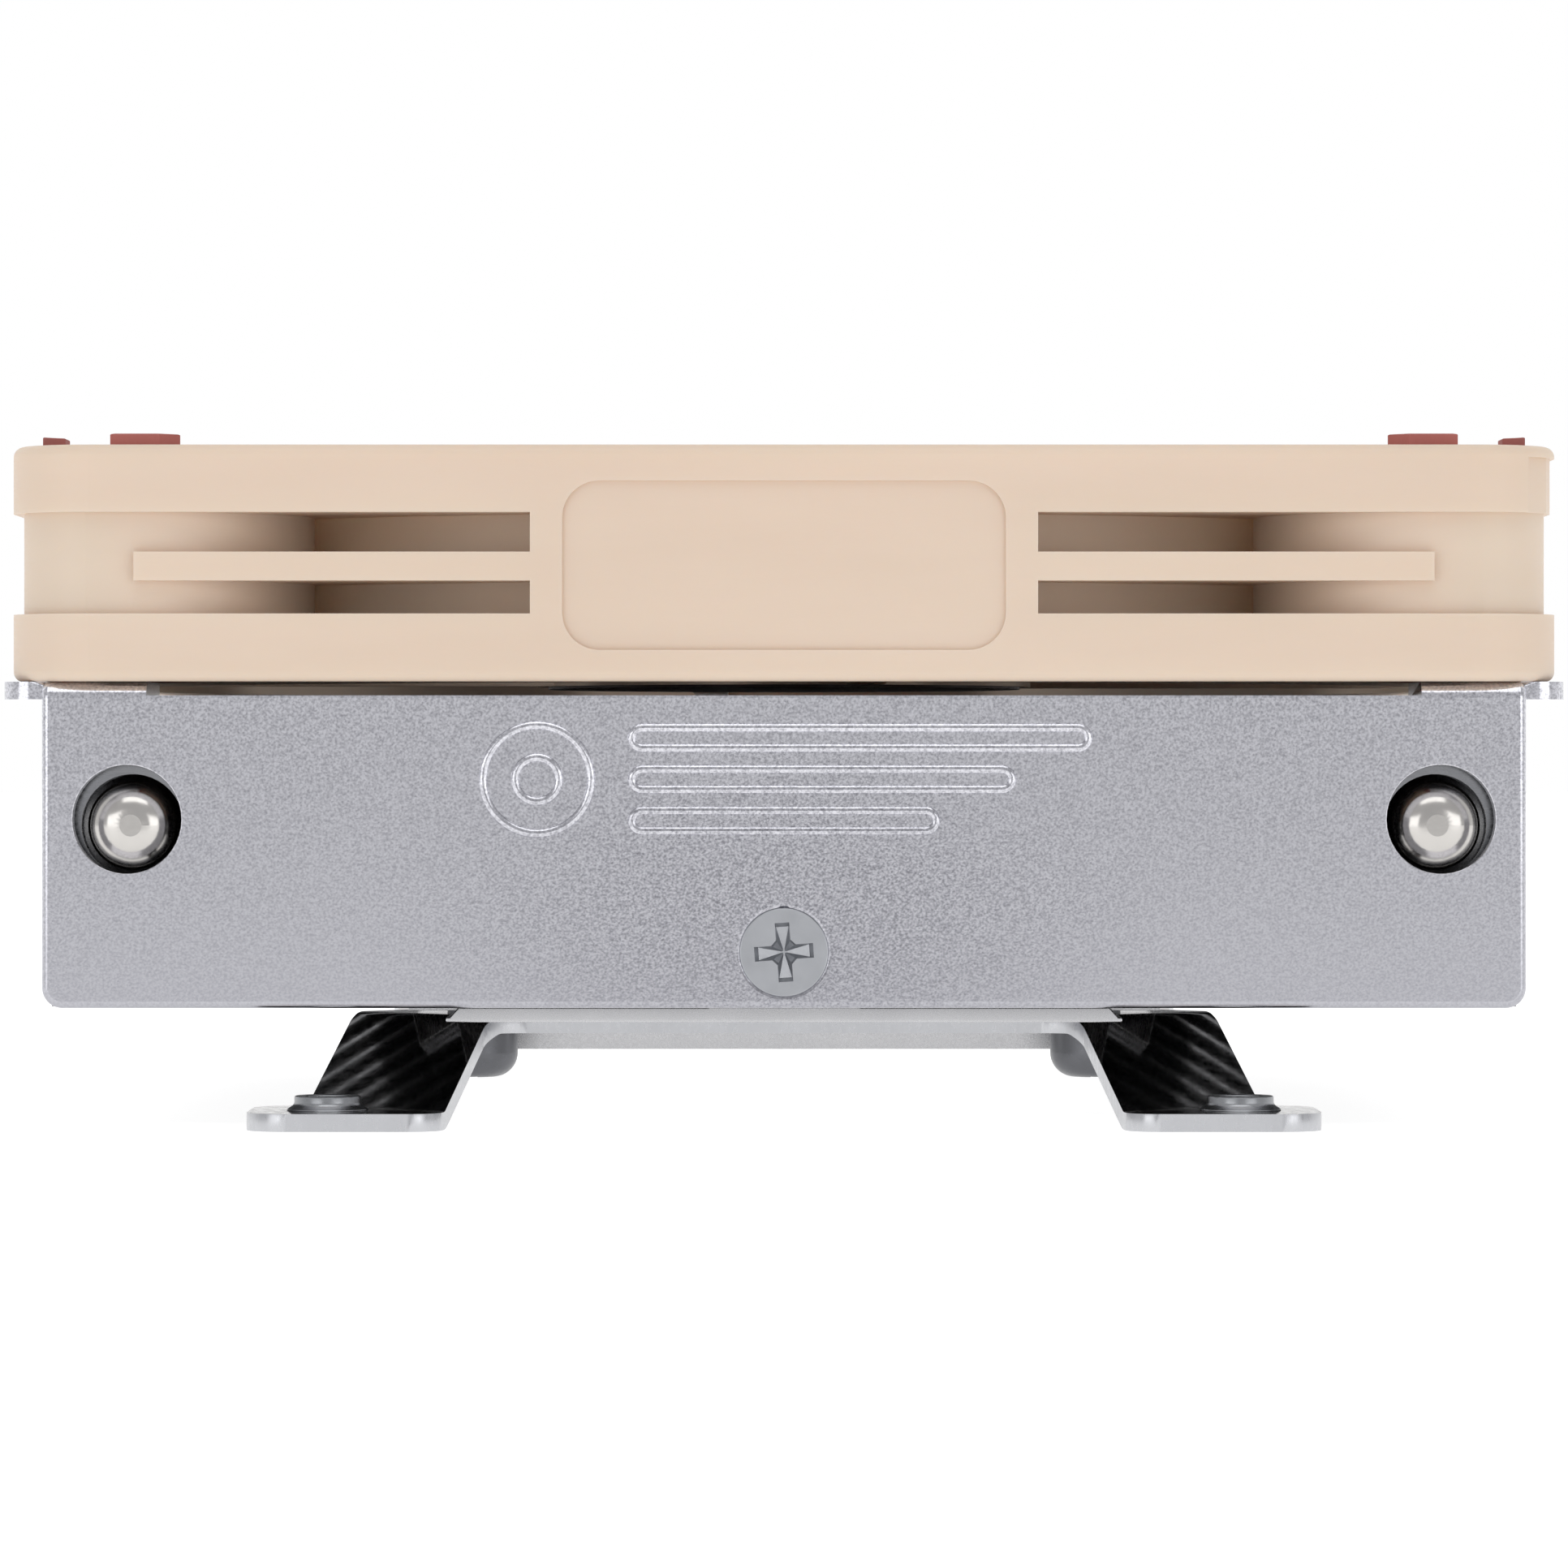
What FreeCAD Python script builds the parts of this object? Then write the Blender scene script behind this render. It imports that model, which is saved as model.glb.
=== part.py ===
"""Low-profile top-flow processor cooler: a slim 92 mm fan on a fin heatsink with two mounting brackets.

Frame: +Z up, Z = 0 under the bracket feet, X to the right, Y to the back, fan axis on Z.
Every size that can be set by itself is a cell of the sheet "dims". Places that follow from other
sizes are the named formulas in DERIVED. All lengths are millimetres.
"""
import FreeCAD, Part
import math
import os
import re
import Sketcher

doc = FreeCAD.newDocument("cpu_cooler")
sheet = doc.addObject("Spreadsheet::Sheet", "dims")
Vector = FreeCAD.Vector

DIMENSIONS = {
    # heights of the stack above the feet
    "contact_z": 3.5,
    "bar_top_z": 6.17,
    "fin_bottom_z": 7.1,
    "seat_z": 26.4,
    "seam_gap": 0.05,
    "end_gap": 0.2,
    # fan frame
    "fan_side": 92.0,
    "fan_t": 14.0,
    "fan_corner_r": 5.0,
    "flange_t": 4.0,
    "fan_edge_r": 0.6,
    "fan_hole_inset": 4.75,
    "fan_hole_r": 2.15,
    "fan_bore_r": 3.4,
    "duct_margin": 2.4,
    "duct_wall": 0.9,
    "duct_flare": 1.3,
    "block_half": 15.0,
    "column_inset": 0.65,
    "column_wall": 0.7,
    "corner_wall_r": 10.0,
    "corner_wall_w": 17.5,
    "rib_t": 1.7,
    "rib_stop": 7.6,
    "rib_drop": 0.2,
    "panel_half": 13.1,
    "panel_height": 10.0,
    "panel_r": 2.2,
    "panel_depth": 0.25,
    "panel_drop": 0.15,
    "exit_depth": 0.25,
    "exit_length": 22.0,
    "exit_height": 3.3,
    "exit_start_angle": 40.0,
    "exit_mid_angle": 65.0,
    # corner pads
    "pad_stand": 0.7,
    "pad_sink": 0.7,
    "pad_margin": 1.6,
    "pad_front_run": 9.3,
    "pad_side_run": 11.6,
    "pad_half_w": 5.2,
    "pad_lip_w": 1.2,
    # motor
    "motor_base_r": 16.2,
    "motor_base_t": 1.8,
    "motor_lift": 0.2,
    "strut_w": 2.4,
    "strut_offset": 4.0,
    "tube_r": 3.6,
    "tube_wall": 0.7,
    "tube_gap": 0.4,
    "tube_floor": 0.3,
    "tube_step": 0.3,
    "thrust_t": 0.5,
    "thrust_gap": 0.05,
    "clip_gap": 0.35,
    "clip_t": 0.3,
    "shaft_r": 1.5,
    "shaft_clearance": 0.05,
    "groove_depth": 0.25,
    "board_r": 13.2,
    "board_t": 0.6,
    "part_height": 0.5,
    "stator_r": 11.5,
    "stator_bottom": 4.2,
    "stator_t": 3.2,
    "pole_w": 2.6,
    "insulator_t": 0.4,
    "coil_t": 1.2,
    "label_t": 0.15,
    # rotor
    "magnet_gap": 0.5,
    "magnet_t": 1.6,
    "magnet_lift": 1.5,
    "yoke_t": 0.7,
    "yoke_skirt": 0.3,
    "hub_wall": 1.6,
    "hub_top_t": 2.0,
    "hub_sink": 1.5,
    "hub_lift": 0.6,
    "bushing_r": 3.3,
    "bushing_height": 2.1,
    "blade_count": 9,
    "blade_gap": 1.0,
    "blade_t": 1.4,
    "blade_low": 1.0,
    "blade_drop": 0.4,
    # fan screws
    "fan_head_r": 2.8,
    "fan_head_t": 2.0,
    "screw_r": 1.5,
    "screw_clearance": 0.03,
    # end plates
    "plate_t": 1.05,
    "plate_inset": 0.6,
    "plate_side_inset": 2.1,
    "plate_corner_r": 1.2,
    "plate_hang": 0.03,
    "plate_drop": 0.83,
    "tab_w": 6.2,
    "tab_depth": 8.6,
    "ear_reach": 0.4,
    "ear_corner_r": 1.6,
    "bend_r": 1.0,
    "plate_edge_r": 0.4,
    "pipe_hole_gap": 0.22,
    "pipe_hole_rise": 0.37,
    "pipe_hole_shift": 0.15,
    "flush_head_r": 2.725,
    "flush_gap": 0.09,
    "flush_screw_z": 10.38,
    "flush_screw_length": 8.0,
    "emboss_height": 0.14,
    "emboss_line": 0.42,
    "emboss_z": 20.6,
    "ring_x": -14.6,
    "ring_r": 3.4,
    "hub_ring_r": 1.5,
    "loop_left": -9.0,
    "loop_half": 0.8,
    "loop_pitch": 2.45,
    "loop_long": 27.0,
    "loop_step": 4.5,
    # fins
    "fin_t": 0.35,
    "fin_side_gap": 0.4,
    "fin_end_gap": 1.05,
    "fin_front_count": 7,
    "fin_middle_count": 30,
    "fin_rear_count": 9,
    "fin_top_gap": 0.9,
    "fin_tab_gap": 0.45,
    "notch_gap": 0.3,
    # heatpipes
    "pipe_r": 3.0,
    "pipe_side_inset": 5.2,
    "pipe_z": 17.87,
    "pipe_inner_x": 10.0,
    "pipe_floor": 0.35,
    "pipe_neck": 0.35,
    "pipe_tip_inset": 0.7,
    # base
    "base_half_x": 23.0,
    "base_t": 4.1,
    "base_end_gap": 0.15,
    "contact_half_x": 19.0,
    "contact_half_y": 17.0,
    "tongue_half": 4.5,
    "tongue_top_z": 13.0,
    "sheet_t": 0.28,
    "sheet_half_x": 20.1,
    "lip_slant": 0.75,
    # brackets
    "bracket_t": 1.05,
    "bracket_bend_r": 1.0,
    "bar_front_y": 33.0,
    "bar_rear_y": 21.5,
    "bar_half": 17.9,
    "bar_corner_r": 2.6,
    "leg_outer_x": 26.7,
    "leg_outer_y": 24.9,
    "leg_top_u": 36.2,
    "leg_foot_u": 47.7,
    "foot_inner_x": 20.3,
    "foot_outer_x": 31.6,
    "foot_front_y": 50.0,
    "foot_rear_y": 39.6,
    "mount_pitch_x": 54.0,
    "mount_pitch_y": 90.0,
    "nut_r": 1.98,
    "nut_bore_r": 1.25,
    "nut_height": 1.9,
    "bar_screw_x": 19.3,
    "bar_screw_y": 27.0,
    "bar_head_r": 2.85,
    "bar_head_t": 2.9,
    "cross_w": 0.85,
    "cross_length": 3.4,
    "cross_depth": 0.9,
}

DERIVED = {
    "fan_half": "fan_side / 2",
    "fan_top": "seat_z + fan_t",
    "fan_hole_x": "fan_half - fan_hole_inset",
    "duct_r": "fan_half - duct_margin",
    "upper_flange_z": "fan_top - flange_t",
    "lower_flange_top": "seat_z + flange_t",
    "middle_t": "fan_t - 2 * flange_t",
    "duct_out_r": "duct_r + duct_wall",
    "column_edge": "fan_half - column_inset",
    "column_r": "fan_bore_r + column_wall",
    "corner_wall_half": "fan_half - corner_wall_w",
    "rib_half": "fan_half - rib_stop",
    "rib_z": "seat_z + (fan_t - rib_t) / 2 - rib_drop",
    "panel_z": "seat_z + (fan_t - panel_height) / 2 - panel_drop",
    "pad_edge": "fan_half - pad_margin",
    # motor, from the bottom up
    "motor_z": "seat_z + motor_lift",
    "motor_top": "motor_z + motor_base_t",
    "tube_z": "motor_z + tube_step",
    "tube_in_r": "tube_r - tube_wall",
    "thrust_z": "tube_z + tube_floor",
    "shaft_z": "thrust_z + thrust_t + thrust_gap",
    "clip_z": "thrust_z + thrust_t + clip_gap",
    "sleeve_z": "clip_z + clip_t + clip_gap",
    "tube_top": "bushing_z - tube_gap",
    "shaft_top": "bushing_z + bushing_height - end_gap",
    "stator_z": "seat_z + stator_bottom",
    "stator_top": "stator_z + stator_t",
    "coil_z": "stator_z - insulator_t - coil_t / 2",
    "coil_height": "stator_t + 2 * insulator_t + coil_t",
    # rotor
    "magnet_r": "stator_r + magnet_gap",
    "yoke_in_r": "magnet_r + magnet_t",
    "hub_in_r": "yoke_in_r + yoke_t",
    "hub_r": "hub_in_r + hub_wall",
    "hub_z": "motor_top + hub_lift",
    "hub_top": "fan_top - hub_sink",
    "yoke_top": "hub_top - hub_top_t",
    "magnet_z": "motor_top + magnet_lift",
    "magnet_top": "bushing_z - end_gap",
    "yoke_z": "magnet_z - yoke_skirt",
    "bushing_z": "yoke_top - yoke_t",
    "blade_r": "duct_r - blade_gap",
    "blade_z": "motor_top + blade_low",
    "blade_top": "hub_top - blade_drop",
    # end plates and fins
    "plate_face_y": "fan_half - plate_inset",
    "plate_in_y": "plate_face_y - plate_t",
    "plate_half": "fan_half - plate_side_inset",
    "tab_start": "plate_half - tab_w",
    "ear_half": "fan_half + ear_reach",
    "pipe_hole_r": "pipe_r + pipe_hole_gap",
    "loop_rounding": "loop_half - 0.05",
    "plate_top_z": "seat_z - plate_drop",
    "tab_z": "seat_z - plate_t",
    "tab_back_y": "plate_face_y - tab_depth",
    "plate_z": "fin_bottom_z - plate_hang",
    "fin_half": "plate_half - fin_side_gap",
    "fin_stack_half": "plate_in_y - fin_end_gap",
    "fin_top_z": "seat_z - fin_top_gap",
    "fin_notch_z": "tab_z - fin_tab_gap",
    "fin_notch_x": "tab_start - notch_gap",
    "fin_count": "fin_front_count + fin_middle_count + fin_rear_count",
    "fin_pitch": "(2 * fin_stack_half - fin_t) / (fin_count - 1)",
    "middle_start_y": "-fin_stack_half + fin_front_count * fin_pitch",
    "rear_start_y": "middle_start_y + fin_middle_count * fin_pitch",
    "pipe_cut_r": "pipe_r + seam_gap",
    # heatpipes
    "pipe_x": "plate_half - pipe_side_inset",
    "pipe_inner_z": "sheet_top_z + pipe_floor + pipe_r",
    "pipe_tip_r": "pipe_r - pipe_neck",
    "pipe_tip_y": "plate_face_y - pipe_tip_inset",
    "pipe_run_x": "pipe_x - pipe_inner_x",
    "pipe_run_z": "pipe_z - pipe_inner_z",
    "pipe_bend_r": "sqrt(pipe_run_x ^ 2 + pipe_run_z ^ 2) / 2",
    "pipe_bend_y": "plate_in_y - end_gap - pipe_r - pipe_bend_r",
    "slot_along": "pipe_cut_r * pipe_run_x / (2 * pipe_bend_r)",
    "slot_rise": "pipe_cut_r * pipe_run_z / (2 * pipe_bend_r)",
    # base and brackets
    "sheet_top_z": "bar_top_z + sheet_t",
    "lip_top_z": "fin_bottom_z - seam_gap",
    "base_top_z": "sheet_top_z + base_t",
    "base_half_y": "fin_stack_half - (fin_front_count - 1) * fin_pitch - fin_t - base_end_gap",
    "bar_z": "bar_top_z - bracket_t",
    "leg_angle": "atan((bar_top_z - bracket_t) / (leg_foot_u - leg_top_u))",
    "leg_shift": "bracket_t * tan(leg_angle / 2)",
    "bend_out_r": "bracket_bend_r + bracket_t",
    "mount_x": "mount_pitch_x / 2",
    "mount_y": "mount_pitch_y / 2",
    "screw_hole_r": "screw_r + screw_clearance",
}

for row, (alias, value) in enumerate(DIMENSIONS.items(), start=1):
    sheet.set(f"A{row}", alias)
    sheet.set(f"B{row}", str(value))
    sheet.setAlias(f"B{row}", alias)
doc.recompute()

NODES = {}


# ---------------------------------------------------------------- formulas and small builders

def formula(text):
    """Write the names in a formula as references to the sheet's cells."""
    def refer(match):
        word = match.group(0)
        if word in DERIVED:
            return "(" + formula(DERIVED[word]) + ")"
        if word in DIMENSIONS:
            return "dims." + word
        return word
    return re.sub(r"[a-z][a-z_]*", refer, text)


def number(text):
    """The present value of a formula, for a sketch's first drawing."""
    result = sheet.evalExpression(formula(text))
    return float(getattr(result, "Value", result))


def bind(item, **sizes):
    for prop, text in sizes.items():
        item.setExpression(prop.replace("__", "."), formula(text))


def place(item, x="0", y="0", z="0", turn=None, axis=None):
    """Put an object at a place that follows the sheet, turned about an axis through it."""
    if axis is not None:
        item.Placement.Rotation = FreeCAD.Rotation(axis, 1)
        item.setExpression("Placement.Rotation.Angle", formula(turn))
    bind(item, Placement__Base__x=x, Placement__Base__y=y, Placement__Base__z=z)
    return item


def node(name, item):
    """Name an object as one of the cooler's sub-parts."""
    item.Label = name
    NODES[name] = item
    return item


def box(name, low, high):
    """A box between two corners given as formulas."""
    item = doc.addObject("Part::Box", name)
    spans = [f"({b}) - ({a})" for a, b in zip(low, high)]
    bind(item, Length=spans[0], Width=spans[1], Height=spans[2])
    return place(item, *low)


def cylinder(name, radius, low, high, x="0", y="0"):
    """An upright cylinder."""
    item = doc.addObject("Part::Cylinder", name)
    bind(item, Radius=radius, Height=f"({high}) - ({low})")
    return place(item, x, y, low)


def rod(name, radius, start, end, x, z):
    """A cylinder along Y."""
    item = doc.addObject("Part::Cylinder", name)
    bind(item, Radius=radius, Height=f"({end}) - ({start})")
    return place(item, x, start, z, turn="-90", axis=Vector(1, 0, 0))


def cut(name, base, *tools):
    item = doc.addObject("Part::Cut", name)
    item.Base = base
    item.Tool = tools[0] if len(tools) == 1 else fuse(name + "_tools", *tools)
    return item


def fuse(name, *shapes):
    item = doc.addObject("Part::MultiFuse", name)
    item.Shapes = list(shapes)
    item.Refine = True
    return item


def common(name, first, second):
    item = doc.addObject("Part::Common", name)
    item.Base = first
    item.Tool = second
    return item


def group(name, *solids):
    """Separate identical pieces that share one node."""
    item = doc.addObject("Part::Compound", name)
    item.Links = list(solids)
    return item


def ring(name, outer, inner, low, high):
    return cut(name, cylinder(name + "_out", outer, low, high), cylinder(name + "_in", inner, low, high))


def origin(body, role):
    return next(item for item in body.Origin.OriginFeatures if item.Role == role)


def new_body(name):
    return doc.addObject("PartDesign::Body", name)


def sketch(body, role, name, offset="0"):
    """A sketch on one of the body's own planes, moved along the plane's normal."""
    drawing = body.newObject("Sketcher::SketchObject", name)
    drawing.AttachmentSupport = [(origin(body, role), "")]
    drawing.MapMode = "FlatFace"
    bind(drawing, AttachmentOffset__Base__z=offset)
    doc.recompute()
    return drawing


def hold_point(drawing, index, point, x, y):
    """Tie a point of a sketch to two formulas."""
    for kind, text, value in (("DistanceX", x, point.x), ("DistanceY", y, point.y)):
        which = drawing.addConstraint(Sketcher.Constraint(kind, -1, 1, index[0], index[1], value))
        drawing.setExpression(f"Constraints[{which}]", formula(text))


def hold_radius(drawing, index, text, value):
    which = drawing.addConstraint(Sketcher.Constraint("Radius", index, value))
    drawing.setExpression(f"Constraints[{which}]", formula(text))


def circle(drawing, x, y, radius):
    centre = Vector(number(x), number(y), 0)
    index = drawing.addGeometry(Part.Circle(centre, Vector(0, 0, 1), number(radius)))
    hold_point(drawing, (index, 3), centre, x, y)
    hold_radius(drawing, index, radius, number(radius))


def corner_arc(before, corner, after, radius):
    """Centre and tangent points of the arc that rounds a corner."""
    back = (before - corner).normalize()
    ahead = (after - corner).normalize()
    half = back.getAngle(ahead) / 2
    centre = corner + (back + ahead).normalize() * (radius / math.sin(half))
    reach = radius / math.tan(half)
    return centre, corner + back * reach, corner + ahead * reach


def outline(drawing, *corners):
    """A closed outline through (x, y) or (x, y, radius) corners, every one tied to its formulas."""
    points = [Vector(number(corner[0]), number(corner[1]), 0) for corner in corners]
    count = len(points)
    arcs = []
    for place_in_row, corner in enumerate(corners):
        here = points[place_in_row]
        arc = None
        if len(corner) == 3:
            arc = corner_arc(points[place_in_row - 1], here, points[(place_in_row + 1) % count],
                             number(corner[2]))
        arcs.append(arc)
    lines = []
    for this in range(count):
        following = (this + 1) % count
        start = arcs[this][2] if arcs[this] else points[this]
        end = arcs[following][1] if arcs[following] else points[following]
        lines.append(drawing.addGeometry(Part.LineSegment(start, end)))
    for this, corner in enumerate(corners):
        mark = drawing.addGeometry(Part.Point(points[this]), True)
        hold_point(drawing, (mark, 1), points[this], corner[0], corner[1])
        before, after = lines[this - 1], lines[this]
        if arcs[this] is None:
            drawing.addConstraint(Sketcher.Constraint("Coincident", before, 2, after, 1))
            drawing.addConstraint(Sketcher.Constraint("Coincident", before, 2, mark, 1))
            continue
        centre, first, last = arcs[this]
        angles = [math.atan2(end.y - centre.y, end.x - centre.x) for end in (first, last)]
        joints = (1, 2)
        if (first - centre).cross(last - centre).z < 0:
            angles.reverse()
            joints = (2, 1)
        round_circle = Part.Circle(centre, Vector(0, 0, 1), number(corner[2]))
        arc = drawing.addGeometry(Part.ArcOfCircle(round_circle, *angles))
        drawing.addConstraint(Sketcher.Constraint("Tangent", before, 2, arc, joints[0]))
        drawing.addConstraint(Sketcher.Constraint("Tangent", after, 1, arc, joints[1]))
        drawing.addConstraint(Sketcher.Constraint("PointOnObject", mark, 1, before))
        drawing.addConstraint(Sketcher.Constraint("PointOnObject", mark, 1, after))
        hold_radius(drawing, arc, corner[2], number(corner[2]))


def rectangle(drawing, left, right, low, high, radius=None):
    rest = () if radius is None else (radius,)
    outline(drawing, (left, low, *rest), (right, low, *rest), (right, high, *rest), (left, high, *rest))


def square(drawing, half, radius=None):
    rectangle(drawing, f"-({half})", half, f"-({half})", half, radius)


def pad(body, drawing, length, reverse=False, midplane=False):
    feature = body.newObject("PartDesign::Pad", drawing.Name + "_pad")
    feature.Profile = drawing
    bind(feature, Length=length)
    feature.Reversed = reverse
    if midplane:
        feature.SideType = "Symmetric"
    return feature


def pocket(body, drawing, depth, reverse=False):
    feature = body.newObject("PartDesign::Pocket", drawing.Name + "_pocket")
    feature.Profile = drawing
    bind(feature, Length=depth)
    feature.Reversed = reverse
    return feature


def revolve(body, drawing, kind, axis="V_Axis"):
    """A revolution or a groove about the sketch's own axis."""
    feature = body.newObject("PartDesign::" + kind, drawing.Name + "_turned")
    feature.Profile = drawing
    feature.ReferenceAxis = (drawing, [axis])
    feature.Angle = 360
    return feature


def polar(body, features, count):
    pattern = body.newObject("PartDesign::PolarPattern", features[0].Name + "_round")
    pattern.Originals = features
    pattern.Axis = (origin(body, "Z_Axis"), [""])
    pattern.Angle = 360
    bind(pattern, Occurrences=count)
    body.Tip = pattern
    return pattern


def corners_of(name, x, y, make):
    """The same piece made at the four places (+-x, +-y)."""
    made = []
    for across, side in (("-", "left"), ("", "right")):
        for along, end in (("-", "front"), ("", "rear")):
            made.append(make(f"{name}_{end}_{side}", f"{across}({x})", f"{along}({y})"))
    return made


def cross_recess(name, x, y, z, depth, turn="0"):
    """Tool for an upright cross recess, from z up by depth."""
    bars = []
    for index, (length, width) in enumerate((("cross_length", "cross_w"), ("cross_w", "cross_length"))):
        bar = box(f"{name}_{index}", (f"-({length}) / 2", f"-({width}) / 2", "0"),
                  (f"({length}) / 2", f"({width}) / 2", depth))
        bars.append(bar)
    return place(fuse(name, *bars), x, y, z, turn=turn, axis=Vector(0, 0, 1))


# ---------------------------------------------------------------- fan frame

def around_corner(angle):
    """A corner of the cable exit's floor, at an angle round the frame's corner from its front face."""
    middle, reach = "(fan_half - fan_corner_r)", "(fan_corner_r - exit_depth)"
    return f"{middle} + {reach} * sin({angle})", f"-{middle} - {reach} * cos({angle})"


def pad_corners():
    """Outline of one corner pad, at the corner on +X and -Y."""
    lean = "pad_half_w * sqrt(2)"
    return (
        ("pad_edge - pad_front_run", f"-(pad_edge - pad_front_run + {lean})"),
        (f"pad_edge - {lean}", "-pad_edge"),
        ("fan_hole_x", "-pad_edge"),
        ("fan_hole_x", "-fan_hole_x"),
        ("pad_edge", "-fan_hole_x"),
        ("pad_edge", f"-(pad_edge - {lean})"),
        (f"pad_edge - pad_side_run + {lean}", "-(pad_edge - pad_side_run)"),
    )


def edges_at(shape, height, reach):
    """Names of the outer edges of a flat square outline at one height."""
    names = []
    for index, edge in enumerate(shape.Edges, start=1):
        bounds = edge.BoundBox
        flat = abs(bounds.ZMin - height) < 0.01 and abs(bounds.ZMax - height) < 0.01
        middle = edge.valueAt((edge.FirstParameter + edge.LastParameter) / 2)
        if flat and math.hypot(middle.x, middle.y) > reach:
            names.append(f"Edge{index}")
    return names


def build_fan_frame():
    body = new_body("fan_frame_body")
    duct = sketch(body, "XY_Plane", "duct_wall_ring", "seat_z")
    circle(duct, "0", "0", "duct_out_r")
    pad(body, duct, "fan_t")
    for name, start in (("lower_flange", "seat_z"), ("upper_flange", "upper_flange_z")):
        flange = sketch(body, "XY_Plane", name, start)
        square(flange, "fan_half", "fan_corner_r")
        flange_pad = pad(body, flange, "flange_t")
    doc.recompute()
    outer_edges = edges_at(flange_pad.Shape, number("seat_z"), number("duct_out_r") + 0.5)
    outer_edges += edges_at(flange_pad.Shape, number("fan_top"), number("duct_out_r") + 0.5)
    rounding = body.newObject("PartDesign::Fillet", "fan_edge_rounding")
    rounding.Base = (flange_pad, outer_edges)
    bind(rounding, Radius="fan_edge_r")
    for name, across, along in (("block_front", "block_half", "fan_half"), ("block_side", "fan_half", "block_half")):
        block = sketch(body, "XY_Plane", name, "lower_flange_top")
        rectangle(block, f"-{across}", across, f"-{along}", along)
        pad(body, block, "middle_t")
    for name, across, along in (("rib_front", "rib_half", "fan_half"), ("rib_side", "column_edge", "rib_half")):
        rib = sketch(body, "XY_Plane", name, "rib_z")
        rectangle(rib, f"-{across}", across, f"-{along}", along)
        pad(body, rib, "rib_t")
    column = sketch(body, "XY_Plane", "corner_column", "lower_flange_top")
    outline(column, ("corner_wall_half", "corner_wall_half"),
            ("column_edge", "corner_wall_half", "corner_wall_r"),
            ("column_edge", "column_edge", "column_r"),
            ("corner_wall_half", "column_edge", "corner_wall_r"))
    polar(body, [pad(body, column, "middle_t")], "4")

    bore = sketch(body, "XY_Plane", "duct_bore", "fan_top")
    circle(bore, "0", "0", "duct_r")
    pocket(body, bore, "fan_t")
    flare = sketch(body, "XZ_Plane", "inlet_flare")
    outline(flare, ("duct_r - 0.2", "upper_flange_z"), ("duct_r", "upper_flange_z"),
            ("duct_r + duct_flare", "fan_top"), ("duct_r - 0.2", "fan_top"))
    revolve(body, flare, "Groove")
    head_bore = sketch(body, "XY_Plane", "screw_head_bore", "fan_top")
    circle(head_bore, "fan_hole_x", "fan_hole_x", "fan_bore_r")
    polar(body, [pocket(body, head_bore, "fan_t - flange_t")], "4")
    screw_hole = sketch(body, "XY_Plane", "screw_hole", "fan_top")
    circle(screw_hole, "fan_hole_x", "fan_hole_x", "fan_hole_r")
    polar(body, [pocket(body, screw_hole, "fan_t")], "4")
    panel = sketch(body, "XZ_Plane", "side_panel", "fan_half")
    rectangle(panel, "-panel_half", "panel_half", "panel_z", "panel_z + panel_height", "panel_r")
    polar(body, [pocket(body, panel, "panel_depth")], "4")

    top_seat = sketch(body, "XY_Plane", "top_pad_seat", "fan_top")
    outline(top_seat, *pad_corners())
    polar(body, [pocket(body, top_seat, "pad_sink")], "4")
    bottom_seat = sketch(body, "XY_Plane", "bottom_pad_seat", "seat_z + pad_sink")
    outline(bottom_seat, *pad_corners())
    polar(body, [pocket(body, bottom_seat, "pad_sink")], "4")
    cable_exit = sketch(body, "XY_Plane", "cable_exit", "upper_flange_z + exit_height")
    start_x, start_y = around_corner("exit_start_angle")
    outline(cable_exit, (start_x, "-fan_half - 1"), ("fan_half + 1", "-fan_half - 1"),
            ("fan_half + 1", "exit_length - fan_half"), ("fan_half - exit_depth", "exit_length - fan_half"),
            ("fan_half - exit_depth", "fan_corner_r - fan_half"), around_corner("exit_mid_angle"),
            (start_x, start_y))
    pocket(body, cable_exit, "exit_height")

    strut = sketch(body, "XY_Plane", "motor_strut", "motor_z")
    rectangle(strut, "motor_base_r / 2", "duct_r + duct_wall / 2", "strut_offset", "strut_offset + strut_w")
    polar(body, [pad(body, strut, "motor_base_t")], "4")
    motor_base = sketch(body, "XY_Plane", "motor_base", "motor_z")
    circle(motor_base, "0", "0", "motor_base_r")
    pad(body, motor_base, "motor_base_t")
    tube_hole = sketch(body, "XY_Plane", "bearing_tube_hole", "motor_top")
    circle(tube_hole, "0", "0", "tube_r")
    pocket(body, tube_hole, "motor_base_t")
    node("fan_frame", body)


def build_corner_pads():
    """Soft pads in the fan's corners, flush with the flanges; the top ones have a raised outer lip."""
    for face, low, height in (("top", "fan_top - pad_sink", "pad_sink + pad_stand"),
                              ("bottom", "seat_z", "pad_sink")):
        for corner in range(4):
            body = new_body(f"{face}_pad_body_{corner + 1}")
            outside = sketch(body, "XY_Plane", f"{face}_pad_outline_{corner + 1}", low)
            outline(outside, *pad_corners())
            pad(body, outside, height)
            hole = sketch(body, "XY_Plane", f"{face}_pad_hole_{corner + 1}", f"{low} + {height}")
            circle(hole, "fan_hole_x", "-fan_hole_x", "fan_bore_r")
            pocket(body, hole, height)
            if face == "top":
                web = sketch(body, "XY_Plane", f"{face}_pad_web_{corner + 1}", f"{low} + {height}")
                rectangle(web, "0", "pad_edge - pad_lip_w", "-(pad_edge - pad_lip_w)", "0")
                pocket(body, web, "pad_stand")
            place(body, turn=str(90 * corner), axis=Vector(0, 0, 1))
            node(f"{face}_pad_{corner + 1}", body)


# ---------------------------------------------------------------- motor, fixed half

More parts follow.
